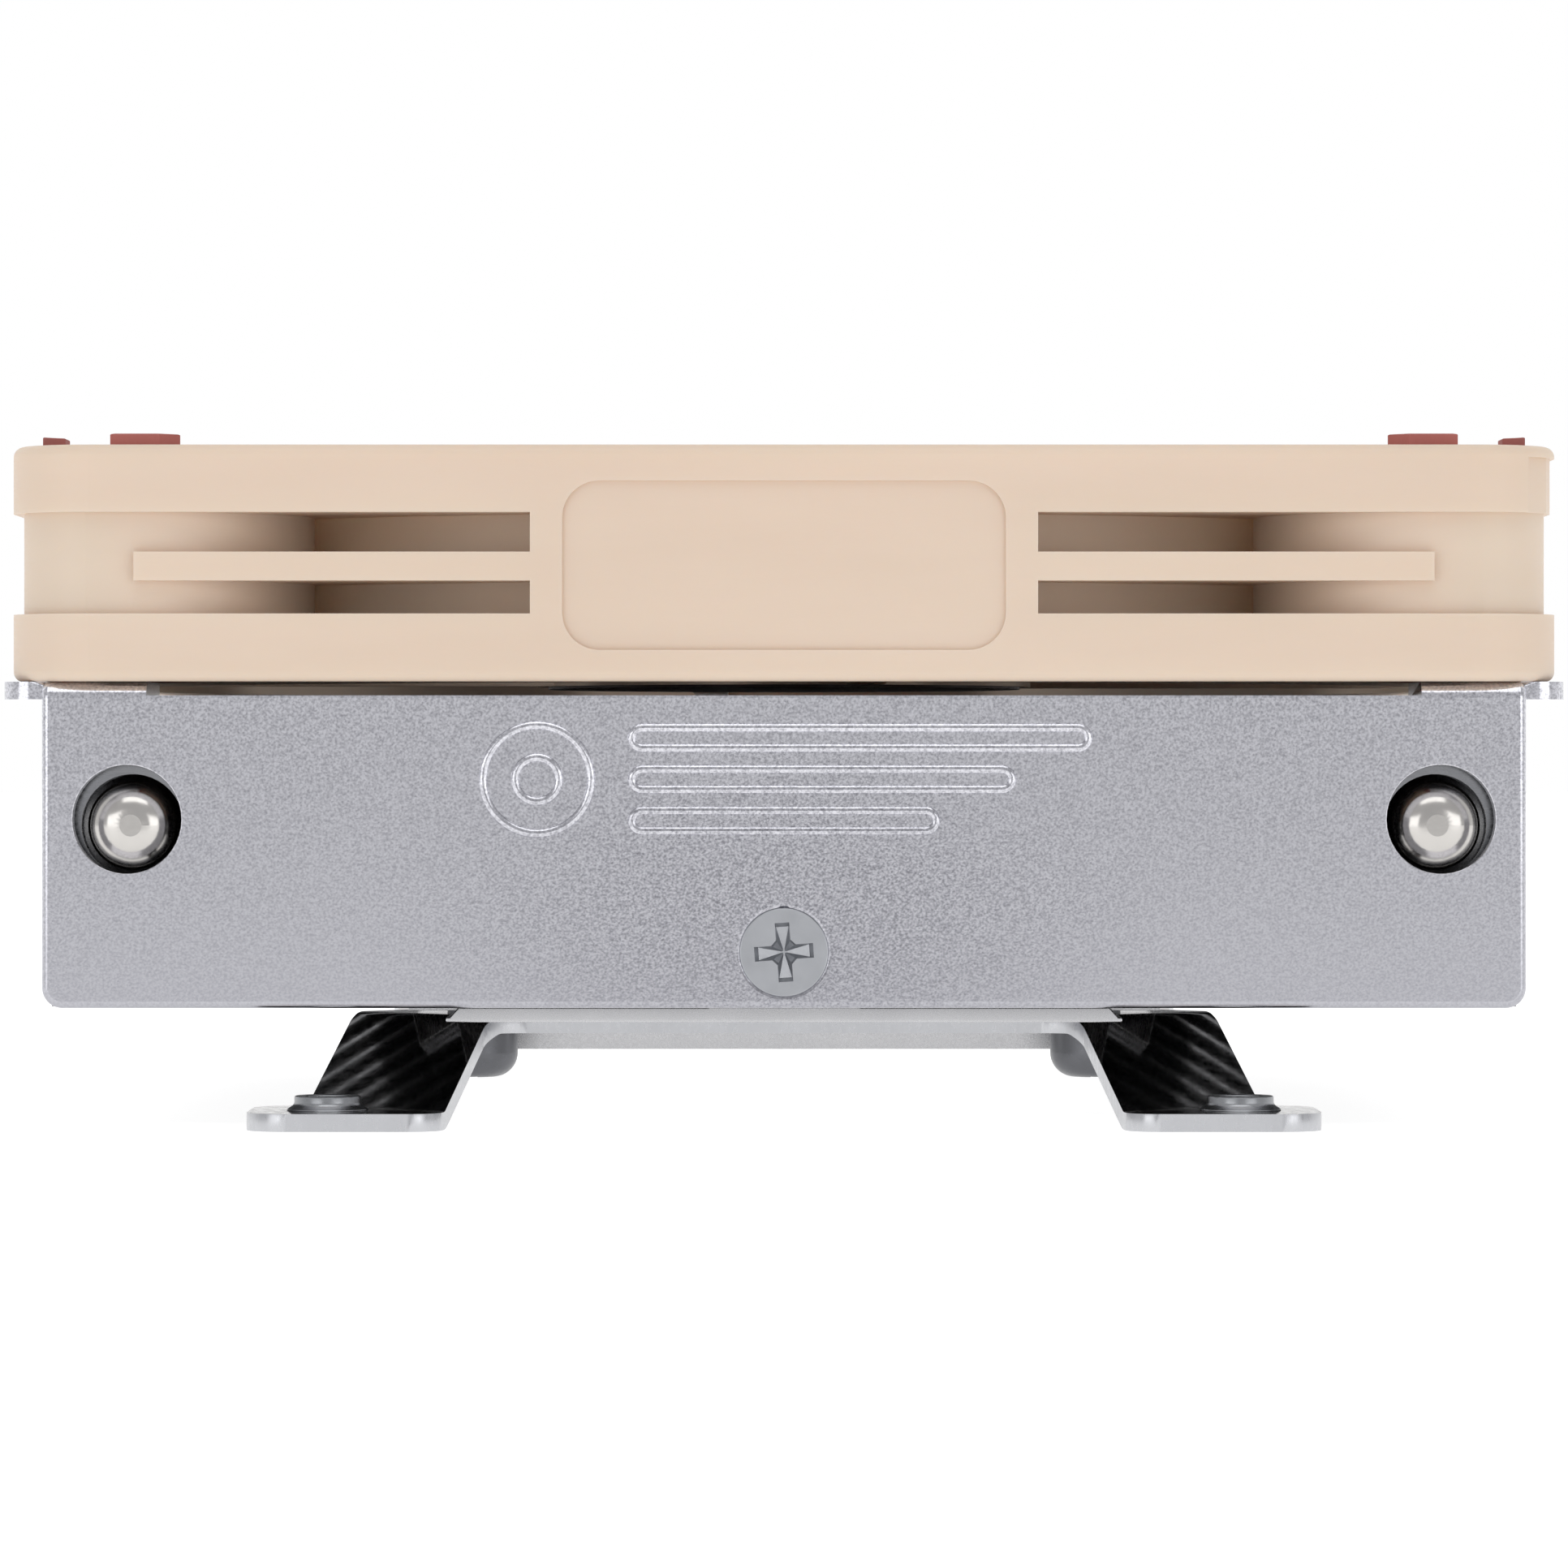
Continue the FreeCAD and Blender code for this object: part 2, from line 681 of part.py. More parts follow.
def build_bearing():
    tube = cut("bearing_tube_solid", cylinder("tube_outside", "tube_r", "tube_z", "tube_top"),
               cylinder("tube_inside", "tube_in_r", "thrust_z", "tube_top"))
    node("bearing_tube", tube)
    node("thrust_pad", cylinder("thrust_disc", "tube_in_r", "thrust_z", "thrust_z + thrust_t"))
    node("bearing_sleeve", ring("sleeve", "tube_in_r", "shaft_r + shaft_clearance", "sleeve_z",
                                "tube_top - 0.4"))


def build_stator():
    low, high = "stator_z", "stator_top"
    hub = cylinder("core_hub", "tube_r + 1.6", low, high)
    poles = []
    for index, (half_x, half_y) in enumerate((("stator_r - 0.6", "pole_w / 2"), ("pole_w / 2", "stator_r - 0.6"))):
        poles.append(box(f"core_pole_{index}", (f"-({half_x})", f"-({half_y})", low), (half_x, half_y, high)))
    shoe_ring = ring("core_shoe_ring", "stator_r", "stator_r - 1.3", low, high)
    gaps = []
    for index, turn in enumerate(("45", "135")):
        gap = box(f"core_gap_{index}", ("-stator_r - 1", "-1.4", "0"), ("stator_r + 1", "1.4", "stator_t"))
        holder = group(f"core_gap_turned_{index}", gap)
        gaps.append(place(holder, "0", "0", low, turn=turn, axis=Vector(0, 0, 1)))
    shoes = cut("core_shoes", shoe_ring, *gaps)
    core = fuse("core_whole", hub, *poles, shoes)
    node("stator_core", cut("core_solid", core, cylinder("core_bore", "tube_r", low, high)))

    covers = []
    for name, start in (("lower", "stator_z - insulator_t"), ("upper", "stator_top")):
        top = f"{start} + insulator_t"
        arms = [cylinder(f"{name}_cover_hub", "tube_r + 1.6", start, top)]
        for index, (half_x, half_y) in enumerate((("stator_r - 1.5", "pole_w / 2"),
                                                  ("pole_w / 2", "stator_r - 1.5"))):
            arms.append(box(f"{name}_cover_arm_{index}", (f"-({half_x})", f"-({half_y})", start),
                            (half_x, half_y, top)))
        covers.append(cut(f"{name}_cover", fuse(f"{name}_cover_whole", *arms),
                          cylinder(f"{name}_cover_bore", "tube_r", start, top)))
    node("stator_insulator", group("insulator_pair", *covers))

    coils = []
    for index in range(4):
        outside = box(f"coil_outside_{index}", ("tube_r + 1.8", "-pole_w / 2 - coil_t", "coil_z"),
                      ("stator_r - 1.6", "pole_w / 2 + coil_t", "coil_z + coil_height"))
        inside = box(f"coil_inside_{index}", ("tube_r", "-pole_w / 2", "stator_z - insulator_t"),
                     ("stator_r", "pole_w / 2", "stator_top + insulator_t"))
        coil = cut(f"coil_{index}", outside, inside)
        coils.append(place(coil, turn=str(90 * index), axis=Vector(0, 0, 1)))
    node("stator_windings", group("winding_group", *coils))


def build_motor_board():
    board_top = "motor_top + board_t"
    node("motor_board", ring("board", "board_r", "tube_r + 0.4", "motor_top", board_top))
    chips = []
    for index, (turn, size) in enumerate(((20, 2.6), (70, 1.4), (110, 1.0), (200, 1.8), (250, 1.2), (310, 1.5))):
        chip = box(f"chip_{index}", ("7.5", f"-{size} / 2", "0"), (f"7.5 + {size}", f"{size} / 2", "part_height"))
        holder = group(f"chip_turned_{index}", chip)
        chips.append(place(holder, "0", "0", board_top, turn=str(turn), axis=Vector(0, 0, 1)))
    node("board_components", group("component_group", *chips))
    node("motor_label", cylinder("motor_label_disc", "motor_base_r - 0.7", "motor_z - label_t", "motor_z"))


# ---------------------------------------------------------------- rotor

def blade_section(body, name, radius, lead, trail, lift):
    """One cambered blade section on the plane X = radius: leading edge high, trailing edge low."""
    drawing = sketch(body, "YZ_Plane", name, radius)
    rise = "blade_top - blade_z"
    crest = f"blade_z + ({rise}) * {lift}"
    outline(drawing,
            (f"-{trail} - 0.15", "blade_z"),
            (f"-{trail} + blade_t * 0.75", "blade_z"),
            ("blade_t * 0.4", f"{crest} - blade_t * 0.9", "9"),
            (f"{lead}", "blade_top - blade_t * 0.6"),
            (f"{lead}", "blade_top"),
            ("-blade_t * 0.4", f"{crest} + blade_t * 0.2", "9 + blade_t"))
    return drawing


def build_impeller():
    body = new_body("impeller_body")
    hub = sketch(body, "XZ_Plane", "hub_profile")
    outline(hub, ("0", "hub_top - 0.6"), ("bushing_r", "hub_top - 0.6"), ("bushing_r", "yoke_top"),
            ("hub_in_r", "yoke_top"), ("hub_in_r", "hub_z"), ("hub_r", "hub_z"),
            ("hub_r", "hub_top", "1"), ("0", "hub_top"))
    revolve(body, hub, "Revolution")
    sections = [
        blade_section(body, "blade_root", "hub_in_r - 0.8", "4.6", "4.4", "0.66"),
        blade_section(body, "blade_middle", "blade_r * 0.65", "8.6", "6.4", "0.64"),
        blade_section(body, "blade_tip", "blade_r + 1.5", "13", "6.8", "0.62"),
    ]
    loft = body.newObject("PartDesign::AdditiveLoft", "blade")
    loft.Profile = sections[0]
    loft.Sections = sections[1:]
    doc.recompute()
    polar(body, [loft], "blade_count")
    inside = sketch(body, "XZ_Plane", "hub_inside")
    rectangle(inside, "-hub_in_r", "-bushing_r", "hub_z - 1", "yoke_top")
    revolve(body, inside, "Groove")
    outside = sketch(body, "XZ_Plane", "tip_trim")
    rectangle(outside, "-(blade_r + 8)", "-blade_r", "blade_z - 1", "fan_top")
    revolve(body, outside, "Groove")
    node("impeller", body)


def build_rotor_core():
    shell = cut("yoke_shell", cylinder("yoke_outside", "hub_in_r", "yoke_z", "yoke_top"),
                cylinder("yoke_inside", "yoke_in_r", "yoke_z", "bushing_z"),
                cylinder("yoke_hole", "bushing_r", "bushing_z", "yoke_top"))
    node("rotor_yoke", shell)
    node("magnet_ring", ring("magnet", "yoke_in_r", "magnet_r", "magnet_z", "magnet_top"))
    node("shaft_bushing", ring("bushing", "bushing_r", "shaft_r", "bushing_z", "bushing_z + bushing_height"))
    groove = ring("shaft_groove", "shaft_r + 1", "shaft_r - groove_depth", "clip_z", "clip_z + clip_t")
    stem = cylinder("shaft_stem", "shaft_r", "shaft_z", "shaft_top")
    node("rotor_shaft", cut("shaft_solid", stem, groove))
    node("shaft_clip", ring("clip", "tube_in_r - 0.5", "shaft_r - groove_depth", "clip_z", "clip_z + clip_t"))
    node("hub_label", cylinder("hub_label_disc", "hub_r - 2.4", "hub_top", "hub_top + label_t"))


# ---------------------------------------------------------------- fan screws

def build_fan_screws():
    def screw(name, x, y):
        head_low = "lower_flange_top"
        head_high = f"{head_low} + fan_head_t"
        whole = fuse(name + "_whole", cylinder(name + "_head", "fan_head_r", head_low, head_high, x, y),
                     cylinder(name + "_stem", "screw_r", "tab_z - 0.25", head_low, x, y))
        return cut(name, whole, cross_recess(name + "_cross", x, y, f"{head_high} - cross_depth", "cross_depth"))
    node("fan_screws", group("fan_screw_group", *corners_of("fan_screw", "fan_hole_x", "fan_hole_x", screw)))


# ---------------------------------------------------------------- heatsink

def emboss_motif(body):
    """Raised lines on the plate's face: two rings beside three long rounded loops of unequal length."""
    shapes = sketch(body, "XZ_Plane", body.Name + "_motif", "plate_face_y - 0.05")
    for radius in ("ring_r", "ring_r - emboss_line", "hub_ring_r", "hub_ring_r - emboss_line"):
        circle(shapes, "ring_x", "emboss_z", radius)
    for index in range(3):
        right = f"loop_left + loop_long - {index} * loop_step"
        middle = f"emboss_z + {1 - index} * loop_pitch"
        for inset in ("0", "emboss_line"):
            rectangle(shapes, f"loop_left + {inset}", f"{right} - {inset}", f"{middle} - loop_half + {inset}",
                      f"{middle} + loop_half - {inset}", f"loop_rounding - {inset}")
    pad(body, shapes, "emboss_height + 0.05")


def build_end_plate(name, half_turn, pipe_sides):
    """Sheet plate: bent tabs and ears under the fan's corners, pipe holes and a countersunk hole."""
    body = new_body(name + "_body")
    profile = sketch(body, "YZ_Plane", name + "_profile")
    outline(profile, ("-plate_face_y", "plate_z"), ("-plate_in_y", "plate_z"), ("-plate_in_y", "tab_z"),
            ("-tab_back_y", "tab_z"), ("-tab_back_y", "seat_z"), ("-plate_face_y", "seat_z", "bend_r"))
    pad(body, profile, "2 * ear_half", midplane=True)
    middle_gap = sketch(body, "XZ_Plane", name + "_middle_gap", "plate_face_y + 1")
    rectangle(middle_gap, "-tab_start", "tab_start", "plate_top_z", "seat_z + 1")
    pocket(body, middle_gap, "tab_depth + 2")
    shelf_gap = sketch(body, "XZ_Plane", name + "_shelf_gap", "plate_in_y")
    rectangle(shelf_gap, "-tab_start", "tab_start", "tab_z - 1", "seat_z + 1")
    pocket(body, shelf_gap, "tab_depth + 1")
    for side, inner, outer in (("left", "-ear_half - 1", "-plate_half"), ("right", "plate_half", "ear_half + 1")):
        ear_gap = sketch(body, "XZ_Plane", f"{name}_{side}_ear_gap", "plate_face_y + 1")
        rectangle(ear_gap, inner, outer, "plate_z - 1", "tab_z")
        pocket(body, ear_gap, "tab_depth + 2")
        ear_front = sketch(body, "XY_Plane", f"{name}_{side}_ear_front", "seat_z + 1")
        rectangle(ear_front, inner, outer, "-plate_face_y - 1", "-plate_in_y + 0.3")
        pocket(body, ear_front, "plate_t + 2")
    round_edges(body, name + "_corner_rounding", "plate_corner_r", lower_plate_edge)
    round_edges(body, name + "_ear_rounding", "ear_corner_r", ear_corner_edge)
    round_edges(body, name + "_face_rounding", "plate_edge_r", plate_face_edge)
    emboss_motif(body)

    holes = [rod(f"{name}_pipe_hole_{side or 'right'}", "pipe_hole_r", "-plate_face_y - 1", "-plate_in_y + 1",
                 f"{side}(pipe_x + pipe_hole_shift)", "pipe_z + pipe_hole_rise") for side in pipe_sides]
    holes += [cylinder(f"{name}_tab_hole_{side or 'right'}", "screw_hole_r", "tab_z - 1", "seat_z + 1",
                       f"{side}fan_hole_x", "-fan_hole_x") for side in ("-", "")]
    sink = doc.addObject("Part::Cone", name + "_countersink")
    bind(sink, Radius1="flush_head_r + flush_gap", Radius2="screw_hole_r", Height="plate_t")
    place(sink, "0", "-plate_face_y", "flush_screw_z", turn="-90", axis=Vector(1, 0, 0))
    holes.append(sink)
    plate = cut(name + "_solid", body, *holes)
    place(plate, turn=half_turn, axis=Vector(0, 0, 1))
    node(name, plate)


def near(value, text):
    return abs(value - number(text)) < 0.01


def lower_plate_edge(edge):
    """The short edges across the sheet at the plate's two lower corners."""
    bounds = edge.BoundBox
    across = near(bounds.YLength, "plate_t") and bounds.XLength < 0.01
    return across and near(bounds.ZMax, "plate_z") and near(abs(bounds.XMax), "plate_half")


def ear_corner_edge(edge):
    """The upright edges at the outer corners of the ears."""
    bounds = edge.BoundBox
    upright = near(bounds.ZLength, "plate_t") and bounds.XLength < 0.01 and bounds.YLength < 0.01
    return upright and near(abs(bounds.XMax), "ear_half")


def plate_face_edge(edge):
    """The front face's own border, without the line where the tabs' bend begins."""
    bounds = edge.BoundBox
    on_face = near(bounds.YMin, "-plate_face_y") and bounds.YLength < 0.01
    bend_line = near(bounds.ZMin, "seat_z - bend_r") and bounds.ZLength < 0.01
    return on_face and not bend_line


def round_edges(body, name, radius, chosen):
    """Round the edges of a body that a test chooses."""
    doc.recompute()
    tip = body.Tip
    names = [f"Edge{index}" for index, edge in enumerate(tip.Shape.Edges, start=1) if chosen(edge)]
    rounding = body.newObject("PartDesign::Fillet", name)
    rounding.Base = (tip, names)
    bind(rounding, Radius=radius)


def build_end_plate_screws():
    screws = []
    for end, turn in (("front", "0"), ("rear", "180")):
        cone = doc.addObject("Part::Cone", f"{end}_flush_head")
        bind(cone, Radius1="flush_head_r", Radius2="screw_r", Height="plate_t")
        place(cone, "0", "-plate_face_y", "flush_screw_z", turn="-90", axis=Vector(1, 0, 0))
        stem = rod(f"{end}_flush_stem", "screw_r", "-plate_in_y", "-plate_in_y + flush_screw_length", "0",
                   "flush_screw_z")
        whole = fuse(f"{end}_flush_whole", cone, stem)
        cross = cross_recess(f"{end}_flush_cross", "0", "0", "0", "cross_depth", turn="5")
        holder = group(f"{end}_flush_cross_turned", cross)
        place(holder, "0", "-plate_face_y", "flush_screw_z", turn="-90", axis=Vector(1, 0, 0))
        screw = cut(f"{end}_flush_screw", whole, holder)
        screws.append(place(screw, turn=turn, axis=Vector(0, 0, 1)))
    node("end_plate_screws", group("flush_screw_group", *screws))


def build_fin_run(name, start, count, corners, draw_holes):
    """A run of identical fins, one sheet pressed and repeated along Y."""
    body = new_body(name + "_body")
    body.AllowCompound = True
    sheet_outline = sketch(body, "XZ_Plane", name + "_outline", f"-({start})")
    outline(sheet_outline, *corners)
    fin = pad(body, sheet_outline, "fin_t", reverse=True)
    holes = sketch(body, "XZ_Plane", name + "_holes", f"-({start})")
    draw_holes(holes)
    pierced = pocket(body, holes, "fin_t")
    pattern = body.newObject("PartDesign::LinearPattern", name + "_row")
    pattern.Originals = [fin, pierced]
    pattern.Direction = (origin(body, "Y_Axis"), [""])
    pattern.Mode = "Spacing"
    bind(pattern, Offset="fin_pitch", Occurrences=count)
    body.Tip = pattern
    node(name, body)


def mirrored(*corners):
    """Corners listed for +X, from the bottom middle to the top middle, and their mirror images."""
    return corners + tuple((f"-({x})", z) for x, z in reversed(corners))


def long_leg_holes(drawing):
    for side in ("-", ""):
        circle(drawing, f"{side}pipe_x", "pipe_z", "pipe_cut_r")


def all_leg_holes(drawing):
    long_leg_holes(drawing)
    for side in ("-", ""):
        circle(drawing, f"{side}pipe_inner_x", "pipe_inner_z", "pipe_cut_r")


def bend_slots(drawing):
    """A slanting slot on each side, which a pipe's half-turn is pushed into from behind."""
    corners = (("pipe_inner_x - slot_along - slot_rise", "pipe_inner_z - slot_rise + slot_along"),
               ("pipe_inner_x - slot_along + slot_rise", "pipe_inner_z - slot_rise - slot_along"),
               ("pipe_x + slot_along + slot_rise", "pipe_z + slot_rise - slot_along"),
               ("pipe_x + slot_along - slot_rise", "pipe_z + slot_rise + slot_along"))
    for side in ("-", ""):
        outline(drawing, *((f"{side}({x})", z, "pipe_r") for x, z in corners))


def build_fins():
    shoulder = (("fin_half", "fin_notch_z"), ("fin_notch_x", "fin_notch_z"), ("fin_notch_x", "fin_top_z"))
    foot = ("fin_half", "fin_bottom_z")
    tongue_x, tongue_z = "tongue_half + seam_gap", "tongue_top_z + seam_gap"
    base_x = "base_half_x + seam_gap"
    build_fin_run("fins_front", "-fin_stack_half", "fin_front_count",
                  mirrored((tongue_x, tongue_z), (tongue_x, "fin_bottom_z"), foot, *shoulder), long_leg_holes)
    build_fin_run("fins_middle", "middle_start_y", "fin_middle_count",
                  mirrored((base_x, "base_top_z"), (base_x, "fin_bottom_z"), foot, ("fin_half", "fin_top_z")),
                  all_leg_holes)
    build_fin_run("fins_rear", "rear_start_y", "fin_rear_count",
                  mirrored((tongue_x, tongue_z), (tongue_x, "base_top_z"), (base_x, "base_top_z"),
                           (base_x, "fin_bottom_z"), foot, *shoulder), bend_slots)


def pipe_half_turn(name, side, radius):
    """The half-turn between a pipe's two legs, lying in the slanting plane through both."""
    sign = "-" if side == "left" else ""
    bend = doc.addObject("Part::Torus", name)
    bind(bend, Radius1="pipe_bend_r", Radius2=radius, Angle3="180")
    tilt = "atan(pipe_run_z / pipe_run_x)"
    return place(bend, f"{sign}(pipe_x + pipe_inner_x) / 2", "pipe_bend_y", "(pipe_z + pipe_inner_z) / 2",
                 turn=tilt if side == "left" else f"-{tilt}", axis=Vector(0, 1, 0))


def build_heatpipe(name, side):
    """A long leg through the fins, a half-turn behind them and a short leg back in the base."""
    sign = "-" if side == "left" else ""
    body = new_body(name + "_leg_body")
    profile = sketch(body, "XY_Plane", name + "_leg_profile")
    outline(profile, ("0", "pipe_bend_y"), ("pipe_r", "pipe_bend_y"), ("pipe_r", "-fin_stack_half + 1"),
            ("pipe_tip_r", "-fin_stack_half"), ("pipe_tip_r", "-pipe_tip_y", "2"), ("0", "-pipe_tip_y"))
    revolve(body, profile, "Revolution")
    place(body, f"{sign}pipe_x", "0", "pipe_z")
    bend = pipe_half_turn(name + "_bend", side, "pipe_r")
    short_leg = rod(name + "_short_leg", "pipe_r", "-base_half_y + pipe_r", "pipe_bend_y",
                    f"{sign}pipe_inner_x", "pipe_inner_z")
    tip = doc.addObject("Part::Sphere", name + "_inner_tip")
    bind(tip, Radius="pipe_r")
    place(tip, f"{sign}pipe_inner_x", "-base_half_y + pipe_r", "pipe_inner_z")
    node(name, fuse(name + "_solid", body, bend, short_leg, tip))


def build_base():
    block = box("base_block", ("-base_half_x", "-base_half_y", "sheet_top_z"),
                ("base_half_x", "base_half_y", "base_top_z"))
    contact = box("contact_block", ("-contact_half_x", "-contact_half_y", "contact_z"),
                  ("contact_half_x", "contact_half_y", "sheet_top_z"))
    tongue_ends = (("front", "-plate_in_y", "-base_half_y"), ("rear", "base_half_y", "plate_in_y"))
    tongues = [box(f"{end}_tongue", ("-tongue_half", low, "fin_bottom_z"), ("tongue_half", high, "tongue_top_z"))
               for end, low, high in tongue_ends]
    tools = [rod(f"groove_{sign or 'right'}", "pipe_cut_r", "-base_half_y + pipe_r", "base_half_y + 1",
                 f"{sign}pipe_inner_x", "pipe_inner_z") for sign in ("-", "")]
    for sign in ("-", ""):
        end = doc.addObject("Part::Sphere", f"groove_end_{sign or 'right'}")
        bind(end, Radius="pipe_cut_r")
        tools.append(place(end, f"{sign}pipe_inner_x", "-base_half_y + pipe_r", "pipe_inner_z"))
    tools += [pipe_half_turn(f"groove_bend_{side}", side, "pipe_cut_r") for side in ("left", "right")]
    tools += corners_of("base_screw_hole", "bar_screw_x", "bar_screw_y",
                        lambda name, x, y: cylinder(name, "screw_hole_r", "bar_top_z", "base_top_z - 0.4", x, y))
    depth = "(flush_screw_length + 0.5)"
    tools.append(rod("front_tongue_hole", "screw_hole_r", "-plate_in_y", f"-plate_in_y + {depth}", "0",
                     "flush_screw_z"))
    tools.append(rod("rear_tongue_hole", "screw_hole_r", f"plate_in_y - {depth}", "plate_in_y", "0",
                     "flush_screw_z"))
    node("base_plate", cut("base_plate_solid", fuse("base_whole", block, contact, *tongues), *tools))

    body = new_body("base_sheet_body")
    edge = sketch(body, "XY_Plane", "base_sheet_outline", "bar_top_z")
    rectangle(edge, "-sheet_half_x", "sheet_half_x", "-fin_stack_half", "fin_stack_half")
    rectangle(edge, "-contact_half_x - seam_gap", "contact_half_x + seam_gap", "-contact_half_y - seam_gap",
              "contact_half_y + seam_gap")
    pad(body, edge, "sheet_t")
    for end, start, inward in (("front", "-fin_stack_half", True), ("rear", "fin_stack_half", False)):
        lip = sketch(body, "XZ_Plane", f"base_sheet_{end}_lip", f"-({start})")
        outline(lip, ("-sheet_half_x", "bar_top_z"), ("sheet_half_x", "bar_top_z"),
                ("sheet_half_x - lip_slant", "lip_top_z"), ("-(sheet_half_x - lip_slant)", "lip_top_z"))
        pad(body, lip, "sheet_t", reverse=inward)
    holes = corners_of("sheet_hole", "bar_screw_x", "bar_screw_y",
                       lambda name, x, y: cylinder(name, "screw_hole_r", "bar_z", "sheet_top_z + 1", x, y))
    node("base_sheet", cut("base_sheet_solid", body, *holes))


# ---------------------------------------------------------------- brackets

def build_bracket(name, half_turn):
    """Pressed sheet bracket: a bar under the base, and two legs bent down at 45 degrees to feet."""
    body = new_body(name + "_strip")
    profile = sketch(body, "XZ_Plane", name + "_bends")
    outline(profile, ("0", "bar_top_z"), ("leg_top_u", "bar_top_z", "bend_out_r"),
            ("leg_foot_u", "bracket_t", "bracket_bend_r"), ("leg_foot_u + 20", "bracket_t"),
            ("leg_foot_u + 20", "0"), ("leg_foot_u - leg_shift", "0", "bend_out_r"),
            ("leg_top_u - leg_shift", "bar_z", "bracket_bend_r"), ("0", "bar_z"))
    pad(body, profile, "4 * foot_front_y", midplane=True)
    place(body, turn="-45", axis=Vector(0, 0, 1))

    blank = new_body(name + "_blank")
    plan = sketch(blank, "XY_Plane", name + "_plan")
    outline(plan, ("0", "-bar_rear_y"), ("0", "-bar_front_y"), ("bar_half", "-bar_front_y", "bar_corner_r"),
            ("foot_inner_x", "-foot_front_y", "2"), ("foot_outer_x", "-foot_front_y", "2.5"),
            ("foot_outer_x", "-foot_rear_y", "2.5"), ("leg_outer_x + 2", "-foot_rear_y", "1"),
            ("leg_outer_x", "-leg_outer_y", "4"), ("leg_outer_x - 3.4", "-bar_rear_y", "1"))
    pad(blank, plan, "bar_top_z + 1")
    half = common(name + "_half", body, blank)
    other = doc.addObject("Part::Mirroring", name + "_other_half")
    other.Source = half
    other.Normal = Vector(1, 0, 0)
    holes = []
    for side in ("-", ""):
        holes.append(cylinder(f"{name}_nut_hole_{side or 'right'}", "nut_r", "-1", "bracket_t + 1",
                              f"{side}mount_x", "-mount_y"))
        holes.append(cylinder(f"{name}_screw_hole_{side or 'right'}", "screw_hole_r", "bar_z - 1",
                              "bar_top_z + 1", f"{side}bar_screw_x", "-bar_screw_y"))
    bracket = cut(name + "_solid", fuse(name + "_whole", half, other), *holes)
    place(bracket, turn=half_turn, axis=Vector(0, 0, 1))
    node(name, bracket)


def build_clinch_nuts():
    def nut(name, x, y):
        collar = doc.addObject("Part::Cone", name + "_collar")
        bind(collar, Radius1="nut_r + 0.5", Radius2="nut_r", Height="0.35")
        place(collar, x, y, "bracket_t")
        whole = fuse(name + "_whole", cylinder(name + "_body", "nut_r", "0", "nut_height", x, y), collar)
        return cut(name, whole, cylinder(name + "_bore", "nut_bore_r", "-1", "nut_height + 1", x, y))
    node("clinch_nuts", group("clinch_nut_group", *corners_of("clinch_nut", "mount_x", "mount_y", nut)))


def build_bracket_screws():
    """Pan heads under the bar with their stems up in the base."""
    def screw(name, x, y):
        body = new_body(name + "_body")
        profile = sketch(body, "XZ_Plane", name + "_profile")
        head_low = "bar_z - bar_head_t"
        outline(profile, ("0", head_low), ("bar_head_r", head_low, "1.5"), ("bar_head_r", "bar_z"),
                ("screw_r", "bar_z"), ("screw_r", "base_top_z - 0.8"), ("0", "base_top_z - 0.8"))
        revolve(body, profile, "Revolution")
        place(body, x, y, "0")
        return cut(name, body, cross_recess(name + "_cross", x, y, head_low, "cross_depth"))
    node("bracket_screws", group("bracket_screw_group",
                                 *corners_of("bracket_screw", "bar_screw_x", "bar_screw_y", screw)))


# ---------------------------------------------------------------- build, check, write

def check_document():
    """Stop if any object failed, if a cut removed nothing, or if a sub-part is not a valid solid."""
    for item in doc.Objects:
        if {"Invalid", "Error"} & set(item.State):
            raise RuntimeError(f"{item.Name} is in state {item.State}")
        if item.TypeId in ("PartDesign::Pocket", "PartDesign::Groove"):
            if item.Shape.Volume > item.BaseFeature.Shape.Volume - 1e-3:
                raise RuntimeError(f"{item.Name} cuts nothing")
        if item.TypeId == "Sketcher::SketchObject" and not item.FullyConstrained:
            raise RuntimeError(f"{item.Name} is not fully constrained")
    for name, item in NODES.items():
        shape = item.Shape
        if shape.isNull() or not shape.isValid() or not shape.Solids:
            raise RuntimeError(f"{name} is not a valid solid")


def write_parts():
    os.makedirs("parts", exist_ok=True)
    for name, item in NODES.items():
        item.Shape.exportStep(f"parts/{name}.step")
        bounds = item.Shape.BoundBox
        print(f"{name:18s} solids {len(item.Shape.Solids):2d}  x {bounds.XMin:7.2f} {bounds.XMax:7.2f}"
              f"  y {bounds.YMin:7.2f} {bounds.YMax:7.2f}  z {bounds.ZMin:6.2f} {bounds.ZMax:6.2f}")


build_fan_frame()
build_corner_pads()
build_bearing()
build_stator()
build_motor_board()
build_impeller()
build_rotor_core()
build_fan_screws()
build_end_plate("front_end_plate", "0", ("-", ""))
build_end_plate("rear_end_plate", "180", ())
build_end_plate_screws()
build_fins()
build_heatpipe("heatpipe_left", "left")
build_heatpipe("heatpipe_right", "right")
build_base()
build_bracket("front_bracket", "0")
build_bracket("rear_bracket", "180")
build_clinch_nuts()
build_bracket_screws()
doc.recompute()
check_document()
write_parts()
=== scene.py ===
"""Looks for a low-profile processor cooler: slim beige fan, nickel-plated heatsink and brackets.

Metres, +Z up, Z = 0 under the brackets' feet, X to the right, Y to the back, fan axis on Z.
"""
import math

import bmesh
import bpy
from mathutils import Matrix, Vector


